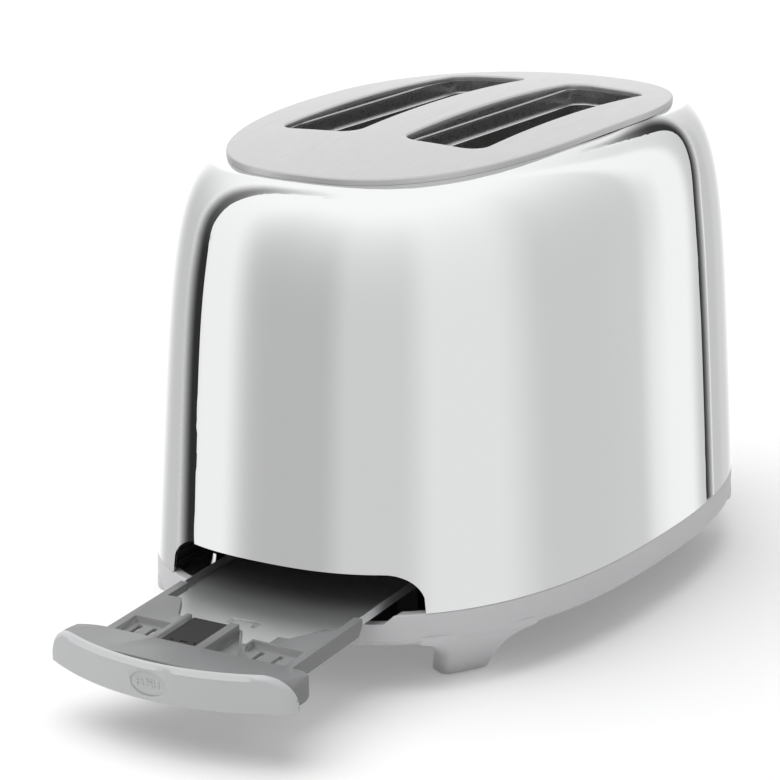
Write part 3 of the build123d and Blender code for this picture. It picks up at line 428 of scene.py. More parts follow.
@dataclass
class Shell:
    """The polished shell: flank, rolled shoulder, creases darkened with painted shade, tray notch and control holes."""

    outline: Oval = BODY
    seam: float = 31.6
    end_crest: float = 190.6
    side_crest: float = 193.8
    middle_crest: float = 192.0
    draft: float = 0.0595
    roll: float = 52.8
    power: float = 5.75
    wall: float = 1.6
    hem: float = 0.35
    reach_in: float = 34.0
    plate: float = 2.4
    end_from: float = 100.0
    row_step: float = 3.4
    shoulder_gain: float = 2.65
    shoulder_from: float = 140.0
    shoulder_rise: float = 30.0
    column_step: float = 2.9
    crease_step: float = 0.64
    corner_step: float = 0.7
    control_step: float = 1.5
    notch_half: float = 53.6
    notch_top: float = 15.6
    notch_corner: float = 12.5
    notch_reach: float = 60.0
    level_from: float = 95.0
    groove_depth: float = 2.0
    end_groove: float = 14.0
    side_groove: float = 11.0
    groove_edge: float = 0.35
    fade_length: float = 70.0
    snap: float = 0.4
    taper_from: float = 15.0
    taper_length: float = 65.0
    narrowest: float = 0.25
    dark_share: float = 0.38
    line_margin: float = 14.0
    side_from: float = 60.0
    end_fine: tuple = (-26.0, 18.0)
    side_fine: tuple = (-45.0, 16.0)
    shaft_hole: float = 5.0
    key_hole: float = 4.8
    end_crease: tuple = (
        (-145, 33.0, 26.0), (-143.5, 33.0, 60), (-142.0, 33.0, 95), (-139.5, 32.5, 132), (-136.5, 31.4, 156),
        (-134.0, 31.0, 166), (-132.5, 29.0, 172), (-131.0, 22.5, 178.5), (-129.5, 10.0, 183.0),
        (-128.5, -6.0, 184.3), (-128.0, -22.0, 184.8),
    )
    side_crease: tuple = (
        (45.0, -94, 26.0), (44.6, -92, 60), (44.2, -90, 95), (43.6, -87.5, 130), (45.0, -84.0, 156),
        (50.0, -78.9, 174.5), (48.6, -74.5, 183.4), (39.5, -72.6, 187.1), (23.5, -72.4, 188.2),
        (0.0, -72.0, 188.9), (-32.0, -70.4, 189.5),
    )

    def profile(self, rise: Array, crest: Array | float) -> tuple[Array, Array]:
        """Inset and height of the flank.

        The flank leans in by its draft and its shoulder follows a superellipse quarter.

        Args:
            rise: 0 at the seam to 1 at the crest.
            crest: height of the crest.

        Returns:
            Inset and height.
        """
        height = self.seam + rise * (crest - self.seam)
        roll = 1 - np.clip(1 - rise**self.power, 0, 1) ** (1 / self.power)
        return self.draft * (height - self.seam) + self.roll * roll, height

    def rises(self) -> Array:
        """Rises of the rows: even steps on the flank, close ones over the shoulder.

        Returns:
            Rises from 0 at the seam up to the plate's edge.
        """
        rise = 1 - (1 - np.linspace(0, 1, 6000)) ** 3
        section = np.stack(self.profile(rise, self.middle_crest), -1)
        kept = section[:, 0] < self.reach_in
        rise, section = rise[kept], section[kept]
        shoulder = smoothstep((section[:, 1] - self.shoulder_from) / self.shoulder_rise)
        pace = paces(lengths(section), self.row_step - self.shoulder_gain * shoulder)
        rows = np.linspace(0, pace[-1], int(pace[-1]) + 1)
        return np.interp(rows, pace, rise)

    def columns(self) -> Array:
        """Lengths round the outline of the columns, closer at creases, notch corners and controls.

        Returns:
            Lengths in rising order, two of them exactly on the notch's sides.
        """
        points, _, run = self.outline.table()
        x, y = points.T
        step = np.full(len(run), self.column_step)
        by_end_crease = (np.abs(x) > self.end_from) & (np.abs(np.sign(x) * y - self.end_fine[0]) < self.end_fine[1])
        by_side_crease = (np.abs(y) > self.side_from) & (np.abs(np.sign(y) * x - self.side_fine[0]) < self.side_fine[1])
        step[by_end_crease | by_side_crease] = self.crease_step
        by_corner = np.abs(np.abs(y - TRAY_Y) - (self.notch_half - 2)) < 4
        step[by_corner & (x < -self.end_from)] = self.corner_step
        step[(np.abs(y) < 32) & (x > self.end_from)] = self.control_step
        step = np.convolve(np.pad(step, 60, mode="wrap"), np.ones(121) / 121, "valid")
        pace = paces(run, step)
        columns = np.interp(np.arange(int(pace[-1])) * pace[-1] / int(pace[-1]), pace, run)
        for side in (1, -1):
            edge = np.interp(0, *self._edge_table(side))
            columns[np.argmin(np.abs(columns - edge))] = edge
        return columns

    def _edge_table(self, side: int) -> tuple[Array, Array]:
        """Offsets from one side of the notch and the lengths where they are, for the tray end.

        Args:
            side: 1 for the notch's side at more Y, -1 for the other.

        Returns:
            Offsets in rising order, and their lengths.
        """
        points, _, run = self.outline.table()
        at_end = points[:, 0] < -self.end_from
        offset = points[at_end, 1] - (TRAY_Y + side * self.notch_half)
        order = np.argsort(offset)
        return offset[order], run[at_end][order]

    def notch_edge(self, x: Array, y: Array) -> Array:
        """Height of the shell's lower edge: the seam, or the notch's rounded top.

        Args:
            x: X of the points.
            y: Y of the points.

        Returns:
            The height at each point: a flat top with a quarter circle at each corner.
        """
        off = np.abs(y - TRAY_Y)
        inner = self.notch_half - self.notch_corner
        top = self.seam + self.notch_top
        drop = self.notch_corner - np.sqrt(np.clip(self.notch_corner**2 - np.clip(off - inner, 0, None) ** 2, 0, None))
        edge = np.where(off < self.notch_half - 1e-4, top - drop, self.seam)
        return np.where(x < -self.end_from, edge, self.seam)

    def base_grid(self) -> tuple[Array, Array]:
        """Positions and normals of the shell without its creases.

        Returns:
            Positions and unit normals, rows by columns by 3.
        """
        columns, rises = self.columns(), self.rises()
        point, normal = self.outline.at(columns)
        crest = self.end_crest * normal[:, 0] ** 2 + self.side_crest * normal[:, 1] ** 2
        edge = self.notch_edge(point[:, 0], point[:, 1])
        height = self.seam + rises[:, None] * (crest - self.seam)
        lifted = edge + (height - self.seam) * (self.level_from - edge) / (self.level_from - self.seam)
        height = np.where(height < self.level_from, lifted, height)
        rise = (height - self.seam) / (crest - self.seam)
        inset, height = self.profile(rise, crest)
        plan = point - inset[..., None] * normal
        height = np.minimum(height, crown(plan[..., 0], plan[..., 1]) - self.plate - 0.05)
        grid = np.concatenate([plan, height[..., None]], -1)
        return grid, normals_of(grid)

    def crease_at(self, grid: Array, normal: Array, knots: Array, hand: int, full: float) -> tuple[Array, Array, Array]:
        """Groove of one crease.

        The crease is a smooth line laid on the shell. Across it the groove is steep on the panel's
        side and rolls out softly on the other; along it, it narrows and fades at its upper end.
        Points that lie close to the line slide onto it, so that the panel's edge is crisp.

        Args:
            grid: positions on the shell.
            normal: normals there.
            knots: points that the line passes, from the seam up.
            hand: 1 where the groove lies to the left of the line seen from outside, else -1.
            full: width of the groove low on the shell.

        Returns:
            Depth from 0 to 1, how far each point slides, and the painted shade that darkens the groove.
        """
        flat, normals = grid.reshape(-1, 3), normal.reshape(-1, 3)
        line = smooth_curve(knots, np.linspace(0, len(knots) - 1, 420))
        for index, point in enumerate(line):
            near = np.argmin(((flat - point) ** 2).sum(1))
            line[index] = point + normals[near] * ((flat[near] - point) @ normals[near])
        run = lengths(line)
        tangent = np.gradient(line, run, axis=0)
        tangent /= np.linalg.norm(tangent, axis=1, keepdims=True)
        low, high = line.min(0) - self.line_margin, line.max(0) + self.line_margin
        close = np.flatnonzero(((flat > low) & (flat < high)).all(1))
        part = flat[close]
        index = np.argmin(((part[:, None] - line[None]) ** 2).sum(2), axis=1)
        side = hand * np.cross(tangent[index], normals[close])
        across = -((part - line[index]) * side).sum(1)
        off = np.linalg.norm(part - line[index], axis=1)
        across = np.where(np.abs(across) > off * 0.5, across, np.sign(across) * off)
        left = run[-1] - run[index]
        beyond = (index == len(line) - 1) | (index == 0)
        fade = smoothstep(left / self.fade_length) * ~(beyond & (off > 3))
        taper = smoothstep((left - self.taper_from) / self.taper_length)
        width = full * (self.narrowest + (1 - self.narrowest) * taper)
        shape = (1 - np.exp(-np.clip(across, 0, None) / self.groove_edge)) * (1 - smoothstep(across / width))
        # Painted shade: black from the panel's edge over a share of the groove's width, then fading across it and
        # towards the line's upper end.
        fall = smoothstep((across / width - self.dark_share) / (1 - self.dark_share))
        shade = (across > 0) * (1 - fall) * np.sqrt(fade)
        on_line = (np.abs(across) < self.snap) & (fade > 0.02) & ~beyond
        depth, dark, slide = np.zeros(len(flat)), np.zeros(len(flat)), np.zeros(flat.shape)
        depth[close] = np.where(on_line, 0.0, shape * fade)
        dark[close] = np.where(on_line, 0.0, shade)
        slide[close[on_line]] = (side * across[:, None])[on_line]
        return depth.reshape(grid.shape[:-1]), slide.reshape(grid.shape), dark.reshape(grid.shape[:-1])

    def creased(self, grid: Array, normal: Array) -> tuple[Array, Array]:
        """Sinks the four creases: the two given by their knots, and both turned half round.

        Args:
            grid: positions on the shell.
            normal: normals there.

        Returns:
            The new positions, and the painted shade of each point.
        """
        depth, painted_darkness = np.zeros(grid.shape[:-1]), np.zeros(grid.shape[:-1])
        slides = np.zeros(grid.shape)
        for knots, hand, full in ((self.end_crease, 1, self.end_groove), (self.side_crease, -1, self.side_groove)):
            for turned in (1, -1):
                placed = np.array(knots) * (turned, turned, 1.0)
                groove, slide, dark = self.crease_at(grid, normal, placed, hand, full)
                depth = np.maximum(depth, groove)
                painted_darkness = np.maximum(painted_darkness, dark)
                slides += slide
        return grid + slides - normal * (depth * self.groove_depth)[..., None], painted_darkness

    def build(self) -> bpy.types.Object:
        """Builds the shell as a closed skin with thickness, rounded hems and cut holes.

        Returns:
            The shell's object.
        """
        grid, normal = self.base_grid()
        outer, painted_darkness = self.creased(grid, normal)
        skin = Mesh()
        index = skin.add(outer)
        painted_shades, normals, loops = [painted_darkness.ravel()], [normal.reshape(-1, 3)], []
        keep = np.ones((grid.shape[0] - 1, grid.shape[1]), bool)
        order = np.argsort(np.where(grid[0, :, 0] > 0, grid[0, :, 1], 1e9))
        for hole in self.holes():
            patch = hole.patch(grid, order)
            i0, i1, j0, j1 = patch.block
            keep[np.ix_(range(j0, j1), order[i0:i1])] = False
            rings, ring_normals = patch.rings(outer, normal, order)
            ids = skin.add(rings[1:])
            painted_shades.append(np.zeros(ids.size))
            normals.append(ring_normals[1:].reshape(-1, 3))
            skin.quads(np.vstack([patch.loop(index, order)[None], ids]), flip=True)
            loops.append(ids[-1])
        skin.quads(index, keep=keep)
        outside, facing, faces = (np.concatenate(parts) for parts in (skin.points, normals, skin.faces))
        inward = facing * self.wall
        inward[(outside[:, 0] < -self.end_from) & (outside[:, 2] < self.notch_reach), 1] = 0.0
        inner = skin.add(outside - inward)
        skin.faces.append(inner[faces][:, ::-1])
        # Painted shade: the whole inner face is painted a dull black.
        painted_shades.append(np.ones(len(inner)))
        for loop in (index[0][::-1], index[-1], *loops):
            middle = outside[loop] - facing[loop] * (self.wall / 2)
            along = np.roll(outside[loop], -1, 0) - np.roll(outside[loop], 1, 0)
            towards = np.cross(along, facing[loop])
            towards /= np.maximum(np.linalg.norm(towards, axis=1, keepdims=True), 1e-9)
            hem = skin.add(middle + towards * self.hem)
            painted_shades.append(np.zeros(len(loop)))
            skin.quads(np.stack([loop, hem, inner[loop]]))
        piece = skin.piece("polished_shell", POLISHED, "housing", "outer_shell", sharp=50)
        # This attribute carries the painted shade of the creases and of the inner face.
        layer = piece.data.attributes.new(POLISHED.shade, "FLOAT", "POINT")
        layer.data.foreach_set("value", np.concatenate(painted_shades).astype(np.float32))
        return piece

    def holes(self) -> list["Hole"]:
        """The holes at the lever end: slot, dial shaft and four buttons.

        Returns:
            The holes, each in the middle of its own control's box.
        """
        low, high = np.array(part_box("lever_trim")) / MM
        half_y, half_z = (high - low)[1:] / 2
        made = [Hole(0, (low[2] + high[2]) / 2, half_y, half_z, half_y)]
        low, high = np.array(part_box("browning_dial")) / MM
        made.append(Hole(0, (low[2] + high[2]) / 2, *[self.shaft_hole] * 3))
        for key in KEYS:
            low, high = np.array(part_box(f"button_{key}")) / MM
            made.append(Hole(*((low + high) / 2)[1:], *[self.key_hole] * 3))
        return made


@dataclass(frozen=True)
class Patch:
    """A block of the grid with a hole in it: index range and the hole's outline."""

    block: tuple[int, int, int, int]
    hole: "Hole"

    def corners(self, order: Array) -> tuple[Array, Array]:
        """Row and column numbers round the block's edge.

        Args:
            order: the grid's columns in order of Y.

        Returns:
            Rows and columns, one of each for a point of the edge.
        """
        i0, i1, j0, j1 = self.block
        cols = [*range(i0, i1), *[i1] * (j1 - j0), *range(i1, i0, -1), *[i0] * (j1 - j0)]
        rows = [*[j0] * (i1 - i0), *range(j0, j1), *[j1] * (i1 - i0), *range(j1, j0, -1)]
        return np.array(rows), order[np.array(cols)]

    def loop(self, index: Array, order: Array) -> Array:
        """Vertex indices round the block's edge."""
        rows, cols = self.corners(order)
        return index[rows, cols]

    def rings(self, grid: Array, normal: Array, order: Array) -> tuple[Array, Array]:
        """Rings of points from the block's edge to the hole's edge.

        Each ring mixes edge and hole outlines in Y and Z, and X and the normals are read from the
        grid between its vertices.

        Args:
            grid: positions on the shell.
            normal: normals there.
            order: the grid's columns in order of Y.

        Returns:
            Positions and normals, rings by points by 3.
        """
        rows, cols = self.corners(order)
        edge = grid[rows, cols][:, 1:]
        centre = np.array([self.hole.y, self.hole.z])
        span = np.abs(edge - centre).max(0)
        turn = np.arctan2((edge[:, 1] - centre[1]) / span[1], (edge[:, 0] - centre[0]) / span[0])
        target = self.hole.outline(turn, edge - centre) + centre
        share = np.linspace(0, 1, 5)[:, None, None] ** 0.8
        flat = edge * (1 - share) + target * share
        i0, i1, j0, j1 = self.block
        block = grid[j0:j1 + 1][:, order[i0:i1 + 1]]
        block_normal = normal[j0:j1 + 1][:, order[i0:i1 + 1]]
        ys, zs = block[:, :, 1].mean(0), block[:, :, 2].mean(1)
        u = np.clip(np.interp(flat[..., 0], ys, np.arange(len(ys))), 0, len(ys) - 1.001)
        v = np.clip(np.interp(flat[..., 1], zs, np.arange(len(zs))), 0, len(zs) - 1.001)
        iu, iv = u.astype(int), v.astype(int)
        fu, fv = (u - iu)[..., None], (v - iv)[..., None]

        def mix(data: Array) -> Array:
            """Bilinear value of block data at the points.

            Args:
                data: values at the block's vertices.

            Returns:
                Values between them, mixed by the shares across and up.
            """
            low = data[iv, iu] * (1 - fu) + data[iv, iu + 1] * fu
            high = data[iv + 1, iu] * (1 - fu) + data[iv + 1, iu + 1] * fu
            return low * (1 - fv) + high * fv

        placed = np.concatenate([mix(block)[..., :1], flat], -1)
        placed[0] = grid[rows, cols]
        normals = mix(block_normal)
        return placed, normals / np.linalg.norm(normals, axis=-1, keepdims=True)


@dataclass(frozen=True)
class Hole:
    """A rounded hole in the shell's far end, by its middle, half sizes and corner radius."""

    y: float
    z: float
    half_y: float
    half_z: float
    radius: float

    def outline(self, turn: Array, offset: Array) -> Array:
        """Points of the hole's outline that match the points of a block round it.

        Args:
            turn: angle of each block point, for the points that lie in the middle.
            offset: block points from the hole's middle.

        Returns:
            Outline points from the hole's middle: the nearest point of its core, carried out by the radius.
        """
        straight = np.array([self.half_y - self.radius, self.half_z - self.radius])
        core = np.clip(offset, -straight, straight)
        away = offset - core
        long = np.linalg.norm(away, axis=1, keepdims=True)
        inside = long[:, 0] < 1e-9
        away = np.where(inside[:, None], np.stack([np.cos(turn), np.sin(turn)], -1), away / np.maximum(long, 1e-9))
        return core + away * self.radius

    def patch(self, grid: Array, order: Array) -> Patch:
        """The smallest block of the grid that leaves a margin round the hole.

        Args:
            grid: positions on the shell.
            order: the grid's columns in order of Y.

        Returns:
            The block with this hole.
        """
        margin, flank_row = 1.6, 20
        ys = grid[flank_row, order, 1]
        count = int((grid[0, :, 0] > 0).sum())
        i0 = int(np.searchsorted(ys[:count], self.y - self.half_y - margin)) - 1
        i1 = int(np.searchsorted(ys[:count], self.y + self.half_y + margin))
        zs = grid[:, order[(i0 + i1) // 2], 2]
        j0 = int(np.searchsorted(zs, self.z - self.half_z - margin)) - 1
        j1 = int(np.searchsorted(zs, self.z + self.half_z + margin))
        return Patch((i0, i1, j0, j1), self)


def smooth_curve(values: Array, steps: Array) -> Array:
    """Catmull-Rom curve through points at whole steps.

    Args:
        values: the points passed.
        steps: where to read, 0 to the last index.

    Returns:
        The curve's points.
    """
    padded = np.concatenate([[2 * values[0] - values[1]], values, [2 * values[-1] - values[-2]]])
    whole = np.clip(steps.astype(int), 0, len(values) - 2)
    part = (steps - whole)[:, None]
    a, b, c, d = (padded[whole + k] for k in range(4))
    return b + 0.5 * part * (c - a + part * (2 * a - 5 * b + 4 * c - d + part * (3 * (b - c) + d - a)))


@dataclass
class TopPlate:
    """The domed plate: an oval with two rounded slots, every edge rounded over."""

    outline: Oval = Oval(122.5, 66.8, 2.5)
    thickness: float = 2.4
    edge_round: float = 0.7
    slot_round: float = 0.9
    slot_x: float = 7.5
    slot_y: float = 27.8
    slot_half_length: float = 73.0
    slot_half_width: float = 17.4
    slot_corner: float = 8.0
    count: int = 200
    rings: int = 14

    def slot_loop(self) -> tuple[Array, Array]:
        """Points and outward normals of the rear slot's outline, from its +X end anticlockwise.

        Returns:
            Points at even steps and their unit normals: straight sides joined by quarter circles.
        """
        a, b, r = self.slot_half_length, self.slot_half_width, self.slot_corner
        quarter = np.linspace(0, np.pi / 2, 40)
        arc = np.stack([a - r + r * np.cos(quarter), b - r + r * np.sin(quarter)], -1)
        first = np.concatenate([[[a, 0]], arc, [[0, b]]])
        second = first[::-1][1:] * (-1, 1)
        loop = np.concatenate([first, second, second[::-1][1:] * (1, -1), first[::-1][1:-1] * (1, -1)])
        loop = even_points(np.concatenate([loop, loop[:1]]), self.count)
        ahead = np.roll(loop, -1, 0) - np.roll(loop, 1, 0)
        normal = np.stack([ahead[:, 1], -ahead[:, 0]], -1)
        normal /= np.linalg.norm(normal, axis=1, keepdims=True)
        return loop + (self.slot_x, self.slot_y), normal

    def half_border(self) -> Array:
        """Outline of the plate's rear half, matched quarter by quarter to the slot's loop.

        Returns:
            As many points as the loop has, along the plate's edge and back along its middle.
        """
        points, _, _ = self.outline.table()
        half = points[: len(points) // 2 + 1]
        right = int(np.argmin(np.abs(half[: len(half) // 2, 1] - self.slot_y)))
        left = len(half) - 1 - right
        top = int(np.argmin(np.abs(half[:, 0] - self.slot_x)))
        a = self.outline.half_length
        spans = [
            half[right:top + 1], half[top:left + 1],
            np.concatenate([half[left:], [[self.slot_x, 0]]]),
            np.concatenate([[[self.slot_x, 0], [a, 0]], half[1:right + 1]]),
        ]
        border = np.concatenate([even_points(span, self.count // 4) for span in spans])
        for corner in ((a, 0), (-a, 0)):
            border[np.argmin(np.linalg.norm(border - corner, axis=1))] = corner
        return border

    def on_crown(self, plan: Array, drop: Array | float = 0.0) -> Array:
        """Points on the crowned surface over plan points, lowered by a drop."""
        height = crown(plan[..., 0], plan[..., 1]) - drop
        return np.concatenate([plan, height[..., None]], -1)

    def build(self) -> bpy.types.Object:
        """Builds the plate: rings from each slot's edge out to the border, then down and under.

        Returns:
            The plate's object.
        """
        plate = Mesh()
        loop, normal = self.slot_loop()
        border = self.half_border()
        r, rim = self.slot_round, self.edge_round
        lift = np.linspace(0, np.pi / 2, 5)[:, None]
        share = np.linspace(0, 1, self.rings)[:, None, None]
        for side in (1, -1):
            flip = np.array([1, side])
            inner = loop + normal * r
            top = inner * (1 - share) + self.trimmed(border, rim) * share
            lip = inner[None] - normal[None] * (r * np.sin(lift))[..., None]
            lip_points = self.on_crown(lip * flip, r * (1 - np.cos(lift)))[::-1]
            wall = self.on_crown(loop[None] * flip, self.thickness)
            plate.tube(np.concatenate([wall, lip_points, self.on_crown(top[1:] * flip)]), flip=side < 0)
            under = loop * (1 - share) + border * share
            plate.tube(self.on_crown(under * flip, self.thickness), flip=side > 0)
        ring, out = self.outline.evenly(360)
        lip = (ring - out * rim)[None] + out[None] * (rim * np.sin(lift))[..., None]
        rows = self.on_crown(lip, rim * (1 - np.cos(lift)))
        plate.tube(np.concatenate([rows, self.on_crown(ring[None], self.thickness)]), flip=True)
        return plate.piece("domed_top_plate", PLATE, "housing", "top_plate", sharp=40)

    def trimmed(self, border: Array, by: float) -> Array:
        """The border drawn in by a distance where it is the plate's own edge.

        Args:
            border: points of the half outline.
            by: the distance.

        Returns:
            The points, those on the middle line left on it.
        """
        on_edge = border[:, 1] > 1e-6
        points, normals, _ = self.outline.table()
        near = np.array([np.argmin(((points - point) ** 2).sum(1)) for point in border])
        drawn = border - normals[near] * by
        middle = np.stack([np.clip(border[:, 0], -self.outline.half_length + by, self.outline.half_length - by),
                           np.zeros(len(border))], -1)
        return np.where(on_edge[:, None], drawn, middle)


@dataclass
class SlotSleeves:
    """The sheet sleeves under the slots, darkened as painted shade, with a bead and a step on the way down whose rim is
    brightened as a painted highlight.
    """

    plate: TopPlate = field(default_factory=TopPlate)
    wall: float = 0.8
    bead_drop: float = 5.6
    bead: float = 0.45
    bead_height: float = 0.7
    step_drop: float = 12.0
    step: float = 1.6
    step_round: float = 0.75
    bottom_drop: float = 26.9

    def rows(self, inset: Array, height: Array, side: int) -> Array:
        """The sleeve's section carried round the slot: inset inwards, height absolute or under the plate.

        Args:
            inset: distance of each section point inwards from the slot's edge.
            height: its height, which the plate's underside limits.
            side: 1 for the rear slot, -1 for the front one.

        Returns:
            Points, section by slot outline by 3.
        """
        loop, normal = self.plate.slot_loop()
        plan = loop[None] - normal[None] * inset[:, None, None]
        plan = plan * (1, side)
        under = crown(plan[..., 0], plan[..., 1]) - self.plate.thickness
        return np.concatenate([plan, np.minimum(under, height[:, None])[..., None]], -1)

    def wall_section(self) -> tuple[Array, Array]:
        """The dark walls' section: its inset and height from the top down and back up.

        Returns:
            Insets and heights: a straight wall, a half wave for the bead, a step, and the inner face.
        """
        step_z, low_z = CROWN - self.step_drop, CROWN - self.bottom_drop
        turn = np.linspace(0, np.pi, 7)
        bead_z = CROWN - self.bead_drop + self.bead_height * np.cos(turn)
        inner = self.step - self.wall
        inset = [-self.wall, 0, *(self.bead * np.sin(turn)), 0, 0.3, self.step, self.step, inner, inner, -self.wall]
        under = step_z - self.wall
        height = [CROWN, CROWN, *bead_z, step_z + 0.3, step_z + 0.02, step_z - 0.02, low_z, low_z, under, under]
        return np.array(inset), np.array(height)

    def edge_section(self) -> tuple[Array, Array]:
        """The step's rim, brightened as a painted highlight; its section is a rounded rim that laps over the step.

        Returns:
            Insets and heights: a quarter circle between two short straights.
        """
        step_z, r = CROWN - self.step_drop, self.step_round
        turn = np.linspace(0, np.pi / 2, 5)
        rim, top = self.step - 0.1, step_z + 0.28
        inset = [0.2, *(rim - r + r * np.sin(turn)), rim, 0.2]
        return np.array(inset), np.array([top, *(top - r + r * np.cos(turn)), step_z - 1.1, step_z - 0.3])

    def build(self) -> None:
        """Builds each sleeve in two pieces: the walls, darkened as painted shade, and the step's rim, brightened as a
        painted highlight.
        """
        walls, edge = self.wall_section(), self.edge_section()
        for side, name in ((-1, "front"), (1, "rear")):
            for section, piece, finish, nodes, sharp in (
                (walls, "slot_sleeve", SLEEVE, [f"slot_liner_{name}"], 40), (edge, "slot_step", STEP_HIGHLIGHT, [], 60),
            ):
                mesh = Mesh()
                mesh.tube(self.rows(*section, side), flip=side < 0, endless=True)
                mesh.piece(f"{piece}_{name}", finish, "housing", *nodes, sharp=sharp)


@dataclass
class BaseRing:
    """The satin ring under the shell, with its four flared feet."""

    outline: Oval = BODY
    low: float = 19.2
    high: float = 31.6
    wall: float = 4.0
    under_round: float = 2.6
    top_round: float = 0.7
    ledge: float = 12.0
    foot_angle: float = 60.0
    foot_low: float = 1.0
    foot_root: float = 3.0
    foot_bulge: float = 2 / 4.6
    sill_drop: float = 3.6
    sill_half: float = 41.0
    sill_slope: float = 3.4
    foot_width: tuple = (10.4, 4.5, 12.0)
    foot_depth: tuple = (5.6, 1.5, 3.0)
    foot_inset: tuple = (0.7, 12.3)

    def section(self) -> Array:
        """Section of the ring as inset and height: rounded under, a soft top edge, a ledge inside.

        Returns:
            Section points, a quarter circle for each rounded edge.
        """
        under = np.linspace(0, np.pi / 2, 9)
        r, t = self.under_round, self.top_round
        lower = np.stack([r - r * np.sin(under), self.low + r - r * np.cos(under)], -1)
        upper = np.stack([t - t * np.cos(under), self.high - t + t * np.sin(under)], -1)
        inside = [[self.wall, self.high], [self.wall, self.low + 3.9], [self.ledge, self.low + 3.9],
                  [self.ledge, self.low + 1.5], [self.wall, self.low + 1.5], [self.wall, self.low]]
        return np.concatenate([lower, upper, inside])

    def build(self) -> None:
        """Builds the ring and the feet."""
        point, normal = self.outline.evenly(640)
        section = self.section()
        plan = point[None] - normal[None] * section[:, None, :1]
        height = np.broadcast_to(section[:, None, 1:], plan.shape[:2] + (1,))
        grid = np.concatenate([plan, height], -1)
        beside = np.abs(grid[..., 1] - TRAY_Y) - self.sill_half
        cut = self.high - self.sill_drop * (1 - np.clip(beside / self.sill_slope, 0, 1))
        grid[..., 2] = np.where(grid[..., 0] < -100, np.minimum(grid[..., 2], cut), grid[..., 2])
        ring = Mesh()
        ring.tube(grid, endless=True)
        for sx, sy in ((1, 1), (-1, 1), (-1, -1), (1, -1)):
            self.foot(ring, sx, sy)
        ring.piece("satin_base_ring", RING, "housing", "base_ring", sharp=48)

    def foot(self, ring: Mesh, sx: int, sy: int) -> None:
        """Adds one foot: rounded sections that narrow and draw in as they go down.

        A half width or depth is its least, plus a share of the flare, plus a share of the flare's sixth power.

        Args:
            ring: the mesh that takes it.
            sx: its end of the body, 1 or -1.
            sy: its side of the body, 1 or -1.
        """
        points, normals, _ = self.outline.table()
        turn = math.radians(self.foot_angle)
        at = np.argmax(normals[: len(normals) // 4] @ (math.cos(turn), math.sin(turn)))
        origin, out = points[at] * (sx, sy), normals[at] * (sx, sy)
        side = np.array([-out[1], out[0]])
        heights = np.linspace(self.low + self.foot_root, self.foot_low, 22)
        flare = np.clip((heights - self.foot_low) / (self.low - self.foot_low), 0, 1)
        width, depth = (least + even * flare + root * flare**6
                        for least, even, root in (self.foot_width, self.foot_depth))
        inset = self.foot_inset[0] + self.foot_inset[1] * (1 - flare) ** 0.9
        turns = np.linspace(0, 2 * np.pi, 64, endpoint=False)[:, None]
        x, y = (np.sign(part) * np.abs(part) ** self.foot_bulge for part in (np.cos(turns), np.sin(turns)))
        rows = []
        for z, w, d, i in zip(heights, width, depth, inset):
            plan = origin + out * (d * x - i - d) + side * (w * y)
            rows.append(np.column_stack([plan, np.full(len(plan), z)]))
        top, sole = rows[0].mean(0), rows[-1].mean(0)
        inner_sole = sole + (rows[-1] - sole) * 0.9
        closed = [np.tile(top, (len(turns), 1)), *rows, inner_sole, np.tile(sole, (len(turns), 1))]
        ring.tube(np.array(closed), flip=sx * sy > 0)


def soften(node: str, name: str, finish: Finish, body: str, sharp: float = 32.0) -> bpy.types.Object:
    """Replaces a CAD node by a merged copy with smooth curved faces and crisp edges.

    Args:
        node: the CAD node.
        name: the new piece's name.
        finish: its finish.
        body: the body that it rides on.
        sharp: edges that turn more than this many degrees stay sharp.

    Returns:
        The new piece.
    """
    mesh = frame["nodes"][node].data.copy()
    work = bmesh.new()
    work.from_mesh(mesh)
    bmesh.ops.remove_doubles(work, verts=work.verts, dist=0.00001)
    work.to_mesh(mesh)
    work.free()
    mesh.shade_smooth()
    mesh.set_sharp_from_angle(angle=math.radians(sharp))
    piece = bpy.data.objects.new(name, mesh)
    even = piece.modifiers.new("even_shading", "WEIGHTED_NORMAL")
    even.keep_sharp = True
    return dress(piece, finish, body, node)


def finish_nodes() -> None:
    """Gives every CAD node its finish, and smooths those with curved faces that show."""
    slots = {part["node"]: part["material_slot"] for part in frame["record"]["subparts"]}
    bodies = frame["record"]["behaviour"]["bodies"]
    home = {node: body for body, nodes in bodies.items() for node in nodes}
    curved = {
        "cord_gland", "tray_mouth", "tray_front", "tray_frame", "tray_sheet", "tray_latch", "carriage", "guide_rods",
        "lever_knob", "lever_stem", "lever_trim", "holding_magnet", "dial_potentiometer", "dial_shaft",
        "browning_dial", "foot_pads", "base_screws", "base_cover", *(f"button_{key}" for key in KEYS),
        *(f"bread_guard_{side}_{face}" for side in ("front", "rear") for face in ("outer", "inner")),
    }
    own = {"outer_shell", "top_plate", "base_ring", "slot_liner_front", "slot_liner_rear"}
    for node, slot in slots.items():
        if node in own:
            continue
        if node in curved:
            soften(node, f"{node}_finished", FINISHES[slot], home[node])
            continue
        piece = frame["nodes"][node]
        piece.data.materials.clear()
        piece.data.materials.append(FINISHES[slot].material())


